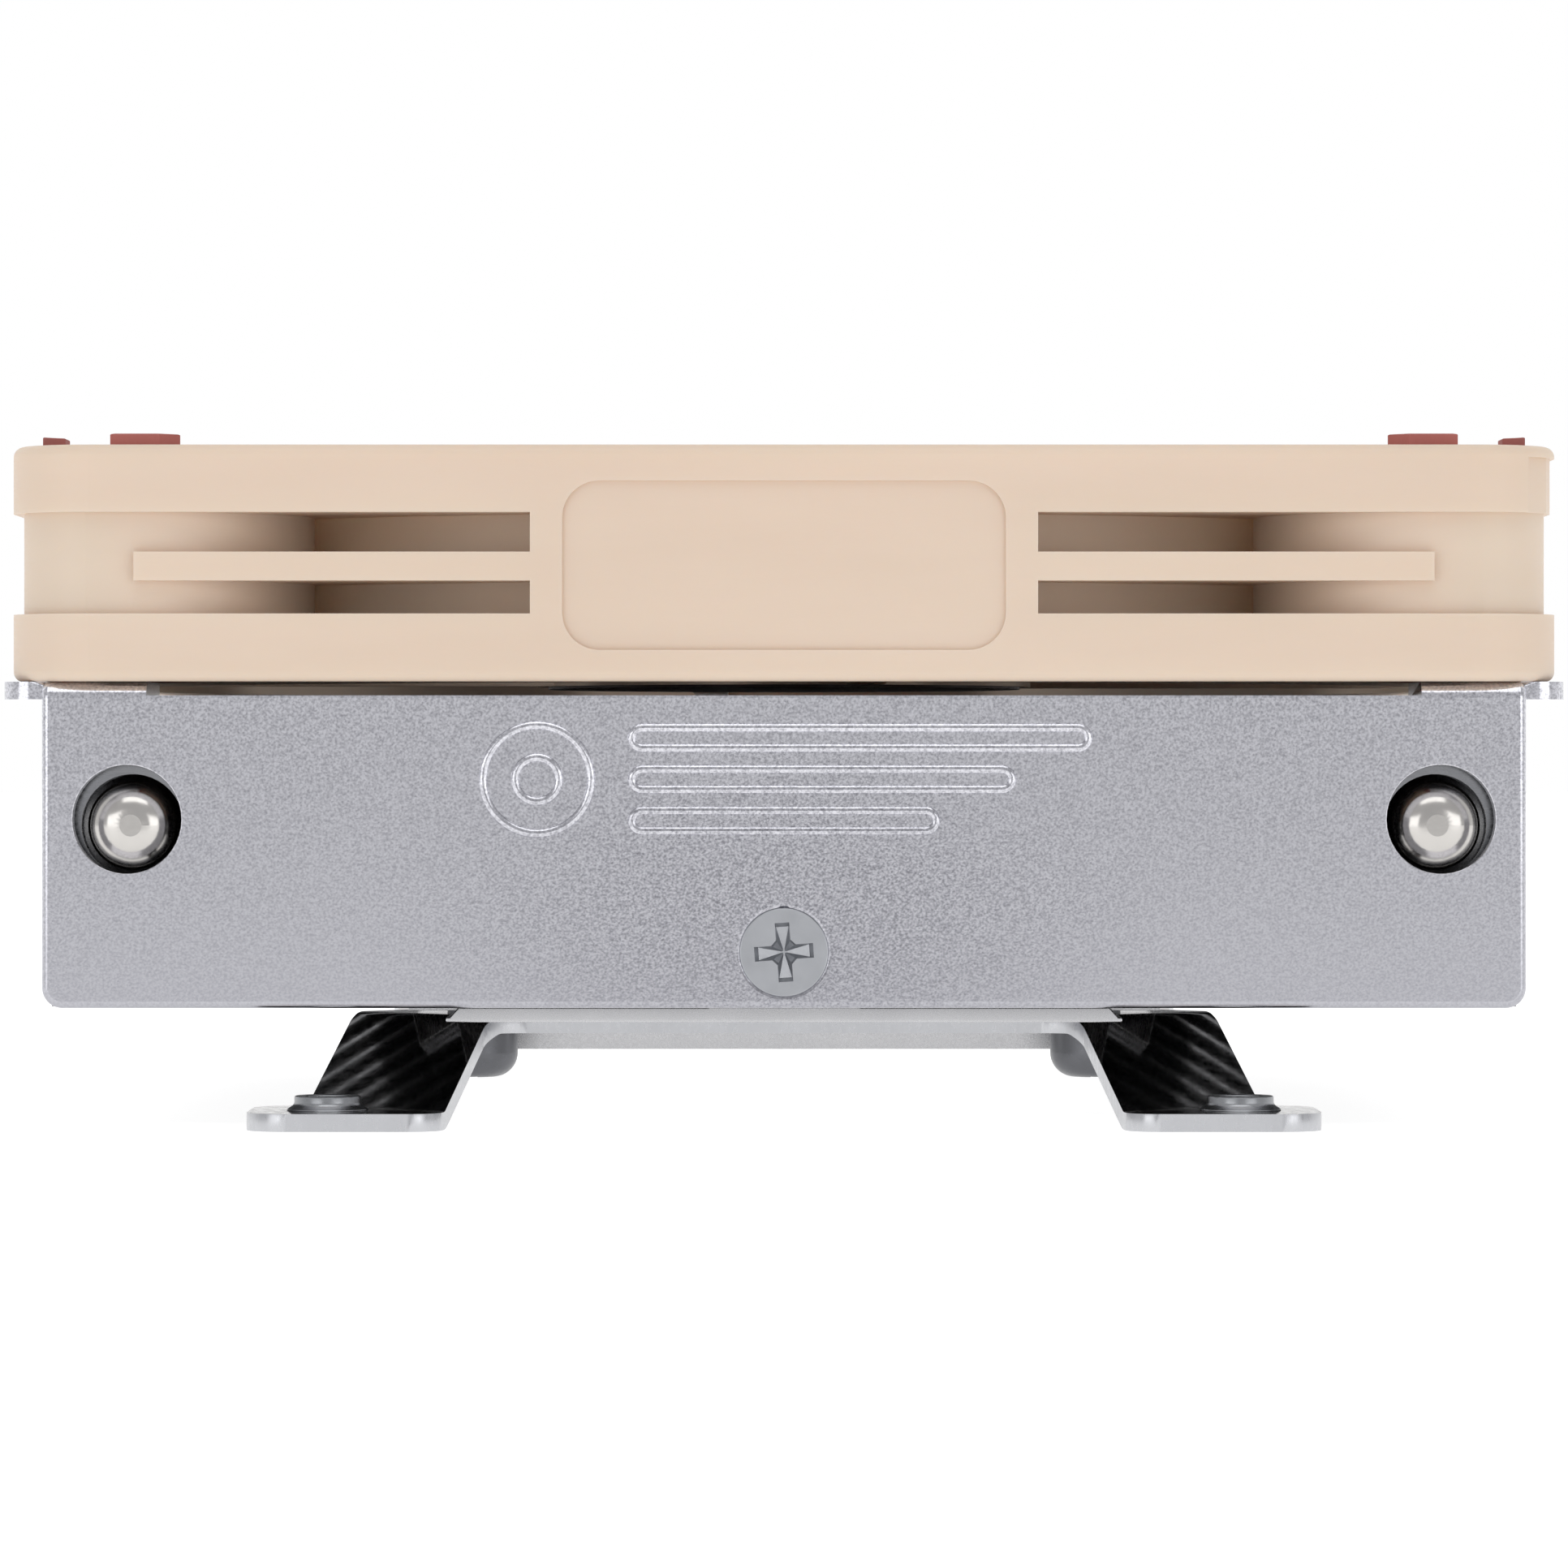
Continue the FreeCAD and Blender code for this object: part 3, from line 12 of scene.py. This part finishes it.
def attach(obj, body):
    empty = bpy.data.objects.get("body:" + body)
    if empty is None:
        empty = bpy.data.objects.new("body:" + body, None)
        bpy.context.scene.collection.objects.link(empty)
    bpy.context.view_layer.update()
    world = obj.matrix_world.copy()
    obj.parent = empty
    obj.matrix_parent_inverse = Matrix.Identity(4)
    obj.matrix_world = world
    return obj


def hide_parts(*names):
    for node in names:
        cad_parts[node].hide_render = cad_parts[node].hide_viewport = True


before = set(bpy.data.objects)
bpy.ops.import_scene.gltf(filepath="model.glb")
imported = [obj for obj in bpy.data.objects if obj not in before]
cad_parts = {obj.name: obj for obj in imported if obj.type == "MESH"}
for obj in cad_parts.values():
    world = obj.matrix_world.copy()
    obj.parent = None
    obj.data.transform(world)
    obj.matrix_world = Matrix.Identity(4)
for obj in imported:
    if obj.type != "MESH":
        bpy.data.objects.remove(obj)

MM = 0.001
MERGE = 0.0005 * MM          # points closer than this are one
FLAT = math.radians(0.3)     # faces that differ by less are one flat face

PLATE_FACE = 45.4 * MM       # end plates: half the distance between their outer faces
PLATE_MIDDLE_Z = 12.5 * MM
# heights between which painted light makes the end plates paler upwards
PLATE_LOW_Z, PLATE_HIGH_Z = 7 * MM, 26 * MM
PLATE_TOP_HALF = 30 * MM     # the level top edge runs at least this far to either side
PIPE_HOLE_X, PIPE_HOLE_Z = 38.85 * MM, 18.24 * MM
PIPE_HOLE_REACH = 3.6 * MM
RIM_EASE = 0.12 * MM

RELIEF_Z = 20.6 * MM         # pressed lines: two rings beside three loops
LINE_HALF, LINE_HEIGHT = 0.24 * MM, 0.15 * MM
RING_X = -14.6 * MM
RING_RADII = (3.2 * MM, 1.3 * MM)
LOOP_LEFT = -8.4 * MM
LOOP_RIGHTS = (17.4 * MM, 12.9 * MM, 8.4 * MM)
LOOP_PITCH, LOOP_HALF = 2.45 * MM, 0.6 * MM

SCREW_Z = 10.38 * MM         # flush screws in the end plates
SCREW_HEAD_R, SCREW_RIM = 2.62 * MM, 0.07 * MM
CROSS_HALF_W, CROSS_HALF_L, CROSS_DEPTH = 0.43 * MM, 1.75 * MM, 0.95 * MM
CROSS_FILLET = 0.3 * MM
CROSS_LEAN = math.radians(4)

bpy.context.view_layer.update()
scene = bpy.context.scene


# ---------------------------------------------------------------- node helpers

def linear(text):
    """An sRGB hex colour as linear RGBA."""
    parts = [int(text[i:i + 2], 16) / 255 for i in (1, 3, 5)]
    return tuple(c / 12.92 if c <= 0.04045 else ((c + 0.055) / 1.055) ** 2.4 for c in parts) + (1.0,)


def add(tree, kind, inputs=None, **settings):
    """Add a node, set its properties, and set or link its inputs by name or index."""
    made = tree.nodes.new("ShaderNode" + kind)
    for name, value in settings.items():
        setattr(made, name, value)
    for key, value in (inputs or {}).items():
        if isinstance(value, bpy.types.NodeSocket):
            tree.links.new(value, made.inputs[key])
        else:
            made.inputs[key].default_value = value
    return made


def blank(name):
    """A new material with its principled shader and object coordinates."""
    made = bpy.data.materials.new(name)
    made.use_nodes = True
    tree = made.node_tree
    tree.nodes.clear()
    shader = add(tree, "BsdfPrincipled")
    add(tree, "OutputMaterial", {"Surface": shader.outputs[0]})
    return made, tree, shader, add(tree, "TexCoord").outputs["Object"]


def per(size_mm):
    """A texture scale that repeats about every so many millimetres."""
    return 1 / (size_mm * MM)


def finish(name, dark, light, rough, patch_mm, grain_mm, bump_mm, stretch=(1, 1, 1), **sockets):
    """A surface with slow colour patches, a fine grain in its gloss and a bump of the same grain."""
    made, tree, shader, place = blank(name)
    spread = add(tree, "Mapping", {"Vector": place, "Scale": stretch})
    patches = add(tree, "TexNoise", {"Vector": spread.outputs[0], "Scale": per(patch_mm), "Detail": 3.0})
    grain = add(tree, "TexNoise", {"Vector": spread.outputs[0], "Scale": per(grain_mm), "Detail": 2.0})
    colour = add(tree, "Mix", {0: patches.outputs[0], 6: linear(dark), 7: linear(light)},
                 data_type="RGBA")
    gloss = add(tree, "MapRange", {0: grain.outputs[0], 1: 0.25, 2: 0.75, 3: rough[0], 4: rough[1]})
    height = add(tree, "Bump", {"Height": grain.outputs[0], "Distance": bump_mm * MM, "Strength": 1.0})
    tree.links.new(colour.outputs[2], shader.inputs["Base Color"])
    tree.links.new(gloss.outputs[0], shader.inputs["Roughness"])
    tree.links.new(height.outputs[0], shader.inputs["Normal"])
    for socket, value in sockets.items():
        shader.inputs[socket.replace("_", " ")].default_value = value
    return made


# ---------------------------------------------------------------- finishes

# Moulded PBT in warm beige: a soft, nearly matt skin with faint flow streaks along the sides.
beige_pbt = finish("moulded_beige_pbt", "#D6C1AD", "#DFCBB8", (0.42, 0.56), 9, 0.35, 0.004,
                   (0.35, 0.35, 2.2), Subsurface_Weight=0.2, Subsurface_Scale=0.004,
                   Subsurface_Radius=(1.0, 0.6, 0.35))
# Moulded PBT in dark reddish brown: satin, a little darker in its flow patches.
brown_pbt = finish("moulded_brown_pbt", "#4A2A22", "#573329", (0.34, 0.48), 8, 0.3, 0.003)
# Soft silicone rubber: dull brick red with a dusty grain.
brown_silicone = finish("moulded_silicone", "#9A544D", "#B0665E", (0.6, 0.75), 3, 0.2, 0.006)
# Satin zinc on screws: even grey with a slightly brighter blush.
satin_zinc = finish("satin_zinc_steel", "#9EA0A4", "#B4B6BA", (0.28, 0.42), 1.5, 0.1, 0.0015,
                    Metallic=1.0)
# Nickel on thin fin sheet with rolling marks along the sheet; its grey is darkened as painted shade of
# the fins' recess behind the plates' pipe holes.
shade_darkened_fin_nickel = finish("nickel_on_rolled_fin", "#828386", "#96979A", (0.2, 0.34), 6, 0.2, 0.0015,
                       (0.2, 1, 1), Metallic=1.0)
# Nickel over ground copper: faint parallel grinding lines.
ground_nickel = finish("nickel_on_ground_copper", "#B8B8BA", "#CACACC", (0.2, 0.34), 5, 0.12, 0.001,
                       (1, 0.08, 1), Metallic=1.0)
# Smooth bright nickel on the brackets, with the sheet's soft waviness.
bright_nickel = finish("bright_nickel_bracket", "#B8B6B5", "#C6C4C3", (0.06, 0.14), 7, 0.6, 0.0015,
                       Metallic=1.0)
# Sheared and lightly tumbled edges of the bracket sheet: satin, paler than the faces.
satin_edge = finish("nickel_on_sheared_edge", "#BABBBE", "#C8C9CC", (0.24, 0.36), 2, 0.18, 0.003,
                    (1, 1, 0.3), Metallic=1.0)
# Smooth nickel on drawn copper pipe, warm grey and a little cloudy.
pipe_nickel = finish("nickel_on_drawn_pipe", "#C0BDB9", "#D2CFCB", (0.16, 0.22), 2.5, 0.3, 0.001,
                     Metallic=1.0)
# Ground steel of the shaft, yoke and nuts.
ground_steel = finish("ground_steel", "#8F9194", "#A7A9AC", (0.25, 0.36), 3, 0.15, 0.001,
                      (0.2, 1, 1), Metallic=1.0)
# Pan heads under the brackets: dark satin grey, darkened as painted shade of their place under the
# bracket bars.
shaded_screw_steel = finish("screw_steel_painted_shade", "#5E5F62", "#717276", (0.26, 0.38), 2, 0.12, 0.0015,
                    Metallic=1.0)
# Turned brass bushing and bearing holder.
turned_brass = finish("turned_brass", "#B08B4A", "#C9A35C", (0.2, 0.32), 2, 0.12, 0.001, (1, 1, 4),
                      Metallic=1.0)
# Oil-filled sintered bronze: dull, with fine pores.
sintered_bronze = finish("sintered_bronze", "#7C5A38", "#92704A", (0.45, 0.6), 1, 0.12, 0.006,
                         Metallic=1.0)
# Stacked steel sheets: dark grey with lines at every sheet.
laminated_steel = finish("laminated_steel", "#4C4E52", "#6A6C70", (0.35, 0.5), 4, 0.4, 0.01,
                         (0.05, 0.05, 1), Metallic=1.0)
# Plastic-bonded ferrite magnet: near-black and dull.
bonded_ferrite = finish("bonded_ferrite", "#1C1C1F", "#29292C", (0.55, 0.7), 2, 0.15, 0.004)
# Enamelled copper wire, wound in turns.
enamelled_copper = finish("enamelled_copper_wire", "#7A3416", "#B5602E", (0.22, 0.34), 2, 0.25,
                          0.03, (0.2, 0.2, 1), Metallic=0.8)
# Black moulded insulator and clip.
black_nylon = finish("moulded_black_nylon", "#121212", "#1E1E1E", (0.4, 0.55), 3, 0.25, 0.003)
# Solder mask over glass fibre: dark green with the weave just showing.
solder_mask = finish("green_solder_mask", "#12321E", "#1B4A2C", (0.25, 0.4), 1, 0.5, 0.004)
# Moulded chip bodies.
chip_epoxy = finish("moulded_chip_epoxy", "#151515", "#242424", (0.5, 0.65), 1, 0.15, 0.003)
# Printed film labels in dark brown.
label_film = finish("printed_label_film", "#3A2219", "#452A20", (0.3, 0.42), 6, 0.3, 0.001)


def pressed_nickel():
    """Nickel on the pressed end plates: orange-peel grain, coarse in the middle; painted light makes it
    paler towards the top and painted shade darkens the middle.
    """
    made, tree, shader, place = blank("nickel_on_pressed_steel")
    peel = add(tree, "TexNoise", {"Vector": place, "Scale": per(0.16), "Detail": 3.0, "Roughness": 0.6})
    lifted = add(tree, "Mapping", {"Vector": place, "Location": (0, 0, -PLATE_MIDDLE_Z)})
    flat = add(tree, "Mapping", {"Vector": lifted.outputs[0], "Scale": (per(26), 0, per(14))})
    away = add(tree, "VectorMath", {0: flat.outputs[0]}, operation="LENGTH").outputs["Value"]
    middle = add(tree, "MapRange", {0: away, 1: 0.1, 2: 1.0, 3: 1.0, 4: 0.3},
                 interpolation_type="SMOOTHSTEP").outputs[0]
    drop = add(tree, "Math", {0: middle, 1: 0.006 * MM}, operation="MULTIPLY")
    height = add(tree, "Bump", {"Height": peel.outputs[0], "Distance": drop.outputs[0], "Strength": 1.0})
    speck = add(tree, "MapRange", {0: peel.outputs[0], 1: 0.3, 2: 0.62}).outputs[0]
    upright = add(tree, "SeparateXYZ", {0: place}).outputs["Z"]
    # painted light: the plate grows paler towards its top
    painted_light_rise = add(tree, "MapRange", {0: upright, 1: PLATE_LOW_Z, 2: PLATE_HIGH_Z}).outputs[0]
    painted_light_top = add(tree, "Mix", {0: painted_light_rise, 6: linear("#B6B6BC"), 7: linear("#E4E4EA")}, data_type="RGBA")
    # painted shade: the plate is darker in its middle
    painted_shade_middle = add(tree, "Mix", {0: middle, 6: linear("#B6B6BC"), 7: linear("#86868D")}, data_type="RGBA")
    colour = add(tree, "Mix", {0: speck, 6: painted_shade_middle.outputs[2], 7: painted_light_top.outputs[2]}, data_type="RGBA")
    tree.links.new(colour.outputs[2], shader.inputs["Base Color"])
    tree.links.new(height.outputs[0], shader.inputs["Normal"])
    shader.inputs["Metallic"].default_value = 1.0
    shader.inputs["Roughness"].default_value = 0.17
    return made


peel_nickel = pressed_nickel()

FINISHES = {
    "fan_frame": beige_pbt, "impeller": brown_pbt,
    "bearing_tube": turned_brass, "bearing_sleeve": sintered_bronze, "thrust_pad": black_nylon,
    "stator_core": laminated_steel, "stator_insulator": black_nylon, "stator_windings": enamelled_copper,
    "motor_board": solder_mask, "board_components": chip_epoxy, "motor_label": label_film,
    "rotor_yoke": ground_steel, "magnet_ring": bonded_ferrite, "shaft_bushing": turned_brass,
    "rotor_shaft": ground_steel, "shaft_clip": black_nylon, "hub_label": label_film,
    "fan_screws": satin_zinc, "front_end_plate": peel_nickel, "rear_end_plate": peel_nickel,
    "end_plate_screws": satin_zinc, "fins_front": shade_darkened_fin_nickel, "fins_middle": shade_darkened_fin_nickel,
    "fins_rear": shade_darkened_fin_nickel, "heatpipe_left": pipe_nickel, "heatpipe_right": pipe_nickel,
    "base_plate": ground_nickel, "base_sheet": ground_nickel, "front_bracket": bright_nickel,
    "rear_bracket": bright_nickel, "clinch_nuts": ground_steel, "bracket_screws": shaded_screw_steel,
}
for index in range(1, 5):
    FINISHES[f"top_pad_{index}"] = brown_silicone
    FINISHES[f"bottom_pad_{index}"] = brown_silicone

for name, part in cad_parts.items():
    part.data.materials.clear()
    part.data.materials.append(FINISHES[name])


# ---------------------------------------------------------------- pieces

def finished(name, shape, stands_for, *materials, like=None, smooth_angle=30):
    """Make an object of a bmesh, smooth it below an angle and let it stand for a CAD node."""
    mesh = bpy.data.meshes.new(name)
    shape.to_mesh(mesh)
    shape.free()
    mesh.polygons.foreach_set("use_smooth", [True] * len(mesh.polygons))
    mesh.set_sharp_from_angle(angle=math.radians(smooth_angle))
    for used in materials:
        mesh.materials.append(used)
    piece = bpy.data.objects.new(name, mesh)
    scene.collection.objects.link(piece)
    flatten = piece.modifiers.new("even_normals", "WEIGHTED_NORMAL")
    flatten.mode = "FACE_AREA"
    flatten.weight = 100
    flatten.keep_sharp = True
    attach(piece, "rotor" if (stands_for or like) in ROTOR else "cooler")
    if stands_for:
        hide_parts(stands_for)


def flattened(shape):
    """Merge the points of a mesh and make its flat faces whole again."""
    bmesh.ops.remove_doubles(shape, verts=shape.verts, dist=MERGE)
    bmesh.ops.dissolve_limit(shape, angle_limit=FLAT, verts=shape.verts, edges=shape.edges)


def copied(node):
    """The CAD node's mesh, merged, with its flat faces whole again."""
    shape = bmesh.new()
    shape.from_mesh(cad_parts[node].data)
    flattened(shape)
    return shape


def ease_edges(shape, width_mm, over=40, segments=2):
    """Round the sharp edges of a merged copy, as tumbling or plating leaves them."""
    sharp = [edge for edge in shape.edges
             if len(edge.link_faces) == 2 and edge.calc_face_angle(0) > math.radians(over)]
    bmesh.ops.bevel(shape, geom=sharp, offset=width_mm * MM, offset_type="OFFSET", segments=segments,
                    profile=0.5, affect="EDGES", clamp_overlap=True, material=-1)


ROTOR = {"impeller", "rotor_yoke", "magnet_ring", "shaft_bushing", "rotor_shaft", "shaft_clip",
         "hub_label"}


def end_plate(node):
    """End plate with its square relief taken down level, its pipe holes and top edge eased."""
    shape = copied(node)
    for v in shape.verts:
        if abs(v.co.y) > PLATE_FACE + 0.01 * MM:
            v.co.y = math.copysign(PLATE_FACE, v.co.y)
    flattened(shape)
    on_face = [v for v in shape.verts if abs(v.co.y) > PLATE_FACE - 0.05 * MM]
    top = max(v.co.z for v in on_face if abs(v.co.x) < PLATE_TOP_HALF)
    rims = []
    for edge in shape.edges:
        middle = (edge.verts[0].co + edge.verts[1].co) / 2
        from_pipe = math.hypot(abs(middle.x) - PIPE_HOLE_X, middle.z - PIPE_HOLE_Z)
        off_top = sum(abs(v.co.z - top) for v in edge.verts)
        outer = abs(middle.y) > PLATE_FACE - 0.05 * MM
        if outer and (from_pipe < PIPE_HOLE_REACH or off_top < 0.02 * MM):
            rims.append(edge)
    bmesh.ops.bevel(shape, geom=rims, offset=RIM_EASE, offset_type="OFFSET", segments=3, profile=0.5,
                    affect="EDGES", clamp_overlap=True, material=-1)
    finished(node + "_piece", shape, node, FINISHES[node])


def flat_tube(shape, at):
    """The oval cross-section of a pressed line, standing across X at a point; returns its edges."""
    made = bmesh.ops.create_circle(shape, segments=12, radius=LINE_HALF)["verts"]
    upright = Matrix.Rotation(math.pi / 2, 4, "Y")
    squashed = Matrix.Diagonal((1, LINE_HEIGHT / LINE_HALF, 1, 1))
    bmesh.ops.transform(shape, matrix=Matrix.Translation(at) @ squashed @ upright, verts=made)
    return [edge for edge in shape.edges if edge.verts[0] in made]


def carried_on(shape, edges, step):
    """Extend a tube's open end in a straight run; returns the new end."""
    grown = bmesh.ops.extrude_edge_only(shape, edges=edges)["geom"]
    moved = [g for g in grown if isinstance(g, bmesh.types.BMVert)]
    bmesh.ops.translate(shape, vec=step, verts=moved)
    ends = [g for g in grown if isinstance(g, bmesh.types.BMEdge)]
    return [edge for edge in ends if all(v in grown for v in edge.verts)]


def turned(shape, edges, centre, angle, steps):
    """Carry a tube's open end round a centre; returns the new end."""
    spun = bmesh.ops.spin(shape, geom=edges, cent=centre, axis=(0, 1, 0), angle=angle, steps=steps,
                          use_merge=False, use_duplicate=False)["geom_last"]
    return [g for g in spun if isinstance(g, bmesh.types.BMEdge)]


def pressed_relief(name, face, turn):
    """Plain relief on a plate: two rings beside three long rounded loops of unequal length."""
    shape = bmesh.new()
    for radius in RING_RADII:
        ring = flat_tube(shape, (RING_X, -PLATE_FACE, RELIEF_Z + radius))
        turned(shape, ring, (RING_X, -PLATE_FACE, RELIEF_Z), 2 * math.pi, 48)
    for row, right in enumerate(LOOP_RIGHTS):
        middle = RELIEF_Z + (1 - row) * LOOP_PITCH
        start = flat_tube(shape, (LOOP_LEFT, -PLATE_FACE, middle + LOOP_HALF))
        end = carried_on(shape, start, (right - LOOP_LEFT, 0, 0))
        end = turned(shape, end, (right, -PLATE_FACE, middle), math.pi, 10)
        end = carried_on(shape, end, (LOOP_LEFT - right, 0, 0))
        turned(shape, end, (LOOP_LEFT, -PLATE_FACE, middle), math.pi, 10)
    bmesh.ops.remove_doubles(shape, verts=shape.verts, dist=2 * MERGE)
    bmesh.ops.recalc_face_normals(shape, faces=shape.faces)
    bmesh.ops.rotate(shape, matrix=Matrix.Rotation(turn, 3, "Z"), verts=shape.verts)
    finished(name, shape, None, peel_nickel, like=face)


def bent_bracket(node):
    """Bracket with bright faces and satin cut edges."""
    shape = copied(node)
    ease_edges(shape, 0.12)
    shape.normal_update()
    for face in shape.faces:
        face.material_index = 1 if abs(face.normal.z) < 0.35 else 0
    finished(node + "_piece", shape, node, bright_nickel, satin_edge)


def cross_outline():
    """The corners of a screw's cross recess with eased inner corners, in the XY plane."""
    inner = CROSS_HALF_W + CROSS_FILLET
    quarter = ((CROSS_HALF_W, CROSS_HALF_L), (CROSS_HALF_W, inner), (inner, CROSS_HALF_W),
               (CROSS_HALF_L, CROSS_HALF_W))
    corners = []
    for turn in range(4):
        spin = Matrix.Rotation(-turn * math.pi / 2, 3, "Z")
        corners += [spin @ Vector((x, y, 0)) for x, y in quarter]
    return corners


def drawn_in(shape, edges):
    """Extrude a closed border and return its new edges and points."""
    grown = bmesh.ops.extrude_edge_only(shape, edges=edges)["geom"]
    ends = [item for item in grown if isinstance(item, bmesh.types.BMEdge)]
    return ends, {v for edge in ends for v in edge.verts}


def recessed_head(shape):
    """A flat screw head at Z = 0 facing +Z, its rim eased and a tapered cross sunk in it."""
    disc = bmesh.ops.create_circle(shape, cap_ends=False, segments=64,
                                   radius=SCREW_HEAD_R - SCREW_RIM)["verts"]
    border = [edge for edge in shape.edges if edge.verts[0] in disc]
    cross = [shape.verts.new(corner) for corner in cross_outline()]
    cross_edges = [shape.edges.new((cross[i - 1], cross[i])) for i in range(len(cross))]
    bmesh.ops.triangle_fill(shape, edges=border + cross_edges, use_beauty=True, use_dissolve=False,
                            normal=(0, 0, 1))
    for share, low in ((0.86, 0.35), (0.12, 1.0)):
        cross_edges, points = drawn_in(shape, cross_edges)
        for v in points:
            v.co = (v.co.x * share, v.co.y * share, -CROSS_DEPTH * low)
    bmesh.ops.contextual_create(shape, geom=cross_edges)
    side = ((SCREW_HEAD_R - 0.3 * SCREW_RIM, -0.3 * SCREW_RIM), (SCREW_HEAD_R, -SCREW_RIM),
            (SCREW_HEAD_R, -1.0 * MM), (0.2 * MM, -1.2 * MM))
    for radius, low in side:
        border, points = drawn_in(shape, border)
        for v in points:
            around = Vector((v.co.x, v.co.y, 0)).normalized() * radius
            v.co = (around.x, around.y, low)
    bmesh.ops.contextual_create(shape, geom=border)
    bmesh.ops.recalc_face_normals(shape, faces=shape.faces)


def flush_screws():
    """Both plates' flat-head screws, the cross a few degrees off upright."""
    both = bmesh.new()
    for turn in (0, math.pi):
        one = bmesh.new()
        recessed_head(one)
        onto = (Matrix.Rotation(turn, 4, "Z") @ Matrix.Translation((0, -PLATE_FACE, SCREW_Z))
                @ Matrix.Rotation(math.pi / 2, 4, "X") @ Matrix.Rotation(CROSS_LEAN, 4, "Z"))
        bmesh.ops.transform(one, matrix=onto, verts=one.verts)
        spare = bpy.data.meshes.new("spare")
        one.to_mesh(spare)
        both.from_mesh(spare)
        one.free()
        bpy.data.meshes.remove(spare)
    finished("flush_screw_heads", both, "end_plate_screws", satin_zinc, smooth_angle=15)


flush_screws()
for node in ("front_bracket", "rear_bracket"):
    bent_bracket(node)
for node, turn in (("front_end_plate", 0), ("rear_end_plate", math.pi)):
    end_plate(node)
    pressed_relief(node.replace("end_plate", "relief"), node, turn)
for node, width in (("base_sheet", 0.08), ("base_plate", 0.1), ("clinch_nuts", 0.12),
                    ("top_pad_1", 0.08), ("top_pad_2", 0.08), ("top_pad_3", 0.08), ("top_pad_4", 0.08)):
    shape = copied(node)
    ease_edges(shape, width)
    finished(node + "_piece", shape, node, FINISHES[node])


# ---------------------------------------------------------------- studio

def studio_floor():
    """A pale sheet of backlit acrylic whose light fades far in front of the object."""
    mesh = bpy.data.meshes.new("floor")
    shape = bmesh.new()
    bmesh.ops.create_grid(shape, x_segments=1, y_segments=1, size=6)
    shape.to_mesh(mesh)
    shape.free()
    floor = bpy.data.objects.new("floor", mesh)
    scene.collection.objects.link(floor)
    made, tree, shader, place = blank("backlit_white_acrylic")
    along = add(tree, "SeparateXYZ", {0: place}).outputs["Y"]
    near = add(tree, "MapRange", {0: along, 1: -0.75, 2: -0.28, 3: 0.0, 4: 1.0},
               interpolation_type="SMOOTHSTEP").outputs[0]
    tone = add(tree, "Mix", {0: near, 6: (0.35, 0.35, 0.36, 1), 7: (0.35, 0.35, 0.35, 1)},
               data_type="RGBA")
    glow = add(tree, "MapRange", {0: near, 3: 0.3, 4: 0.88}).outputs[0]
    tree.links.new(tone.outputs[2], shader.inputs["Base Color"])
    shader.inputs["Roughness"].default_value = 0.6
    shader.inputs["Emission Color"].default_value = (1, 1, 1, 1)
    tree.links.new(glow, shader.inputs["Emission Strength"])
    floor.data.materials.append(made)


def studio_world():
    """White behind the object, dimmer round the camera's side, as a room in front of a lit wall."""
    world = bpy.data.worlds.new("studio")
    world.use_nodes = True
    scene.world = world
    tree = world.node_tree
    tree.nodes.clear()
    way = add(tree, "TexCoord").outputs["Generated"]
    facing = add(tree, "VectorMath", {0: way, 1: (0, -1, 0)}, operation="DOT_PRODUCT").outputs["Value"]
    front = add(tree, "MapRange", {0: facing, 1: -0.6, 2: 0.4, 3: 0.0, 4: 1.0},
                interpolation_type="SMOOTHSTEP").outputs[0]
    tone = add(tree, "Mix", {0: front, 6: (1, 1, 1, 1), 7: (0.56, 0.56, 0.572, 1)}, data_type="RGBA")
    light = add(tree, "Background", {"Color": tone.outputs[2], "Strength": 1.0})
    add(tree, "OutputWorld", {"Surface": light.outputs[0]})


def soft_light(name, at, aim, size, power):
    """A rectangular soft box at a place, aimed at a point."""
    data = bpy.data.lights.new(name, "AREA")
    data.shape = "RECTANGLE"
    data.size, data.size_y = size
    data.energy = power
    lamp = bpy.data.objects.new(name, data)
    lamp.location = at
    lamp.rotation_euler = (Vector(aim) - Vector(at)).to_track_quat("-Z", "Y").to_euler()
    scene.collection.objects.link(lamp)


def level_camera():
    """A long lens level with the plate's upper part, straight in front."""
    data = bpy.data.cameras.new("camera")
    data.lens = 155.6
    data.sensor_width = 36
    data.shift_y = -0.0083
    data.clip_start = 0.01
    camera = bpy.data.objects.new("camera", data)
    camera.location = (0, -0.446, 0.0211)
    camera.rotation_euler = (math.pi / 2, 0, 0)
    scene.collection.objects.link(camera)
    scene.camera = camera


scene.view_settings.view_transform = "Standard"
studio_floor()
studio_world()
level_camera()
soft_light("key_overhead", (0.0, -0.3, 0.55), (0, 0, 0.02), (0.5, 0.4), 0.8)
for name, side in (("front_left", -1), ("front_right", 1)):
    soft_light(name, (side * 0.4, -0.6, 0.07), (0, 0, 0.03), (0.4, 0.3), 0.5)
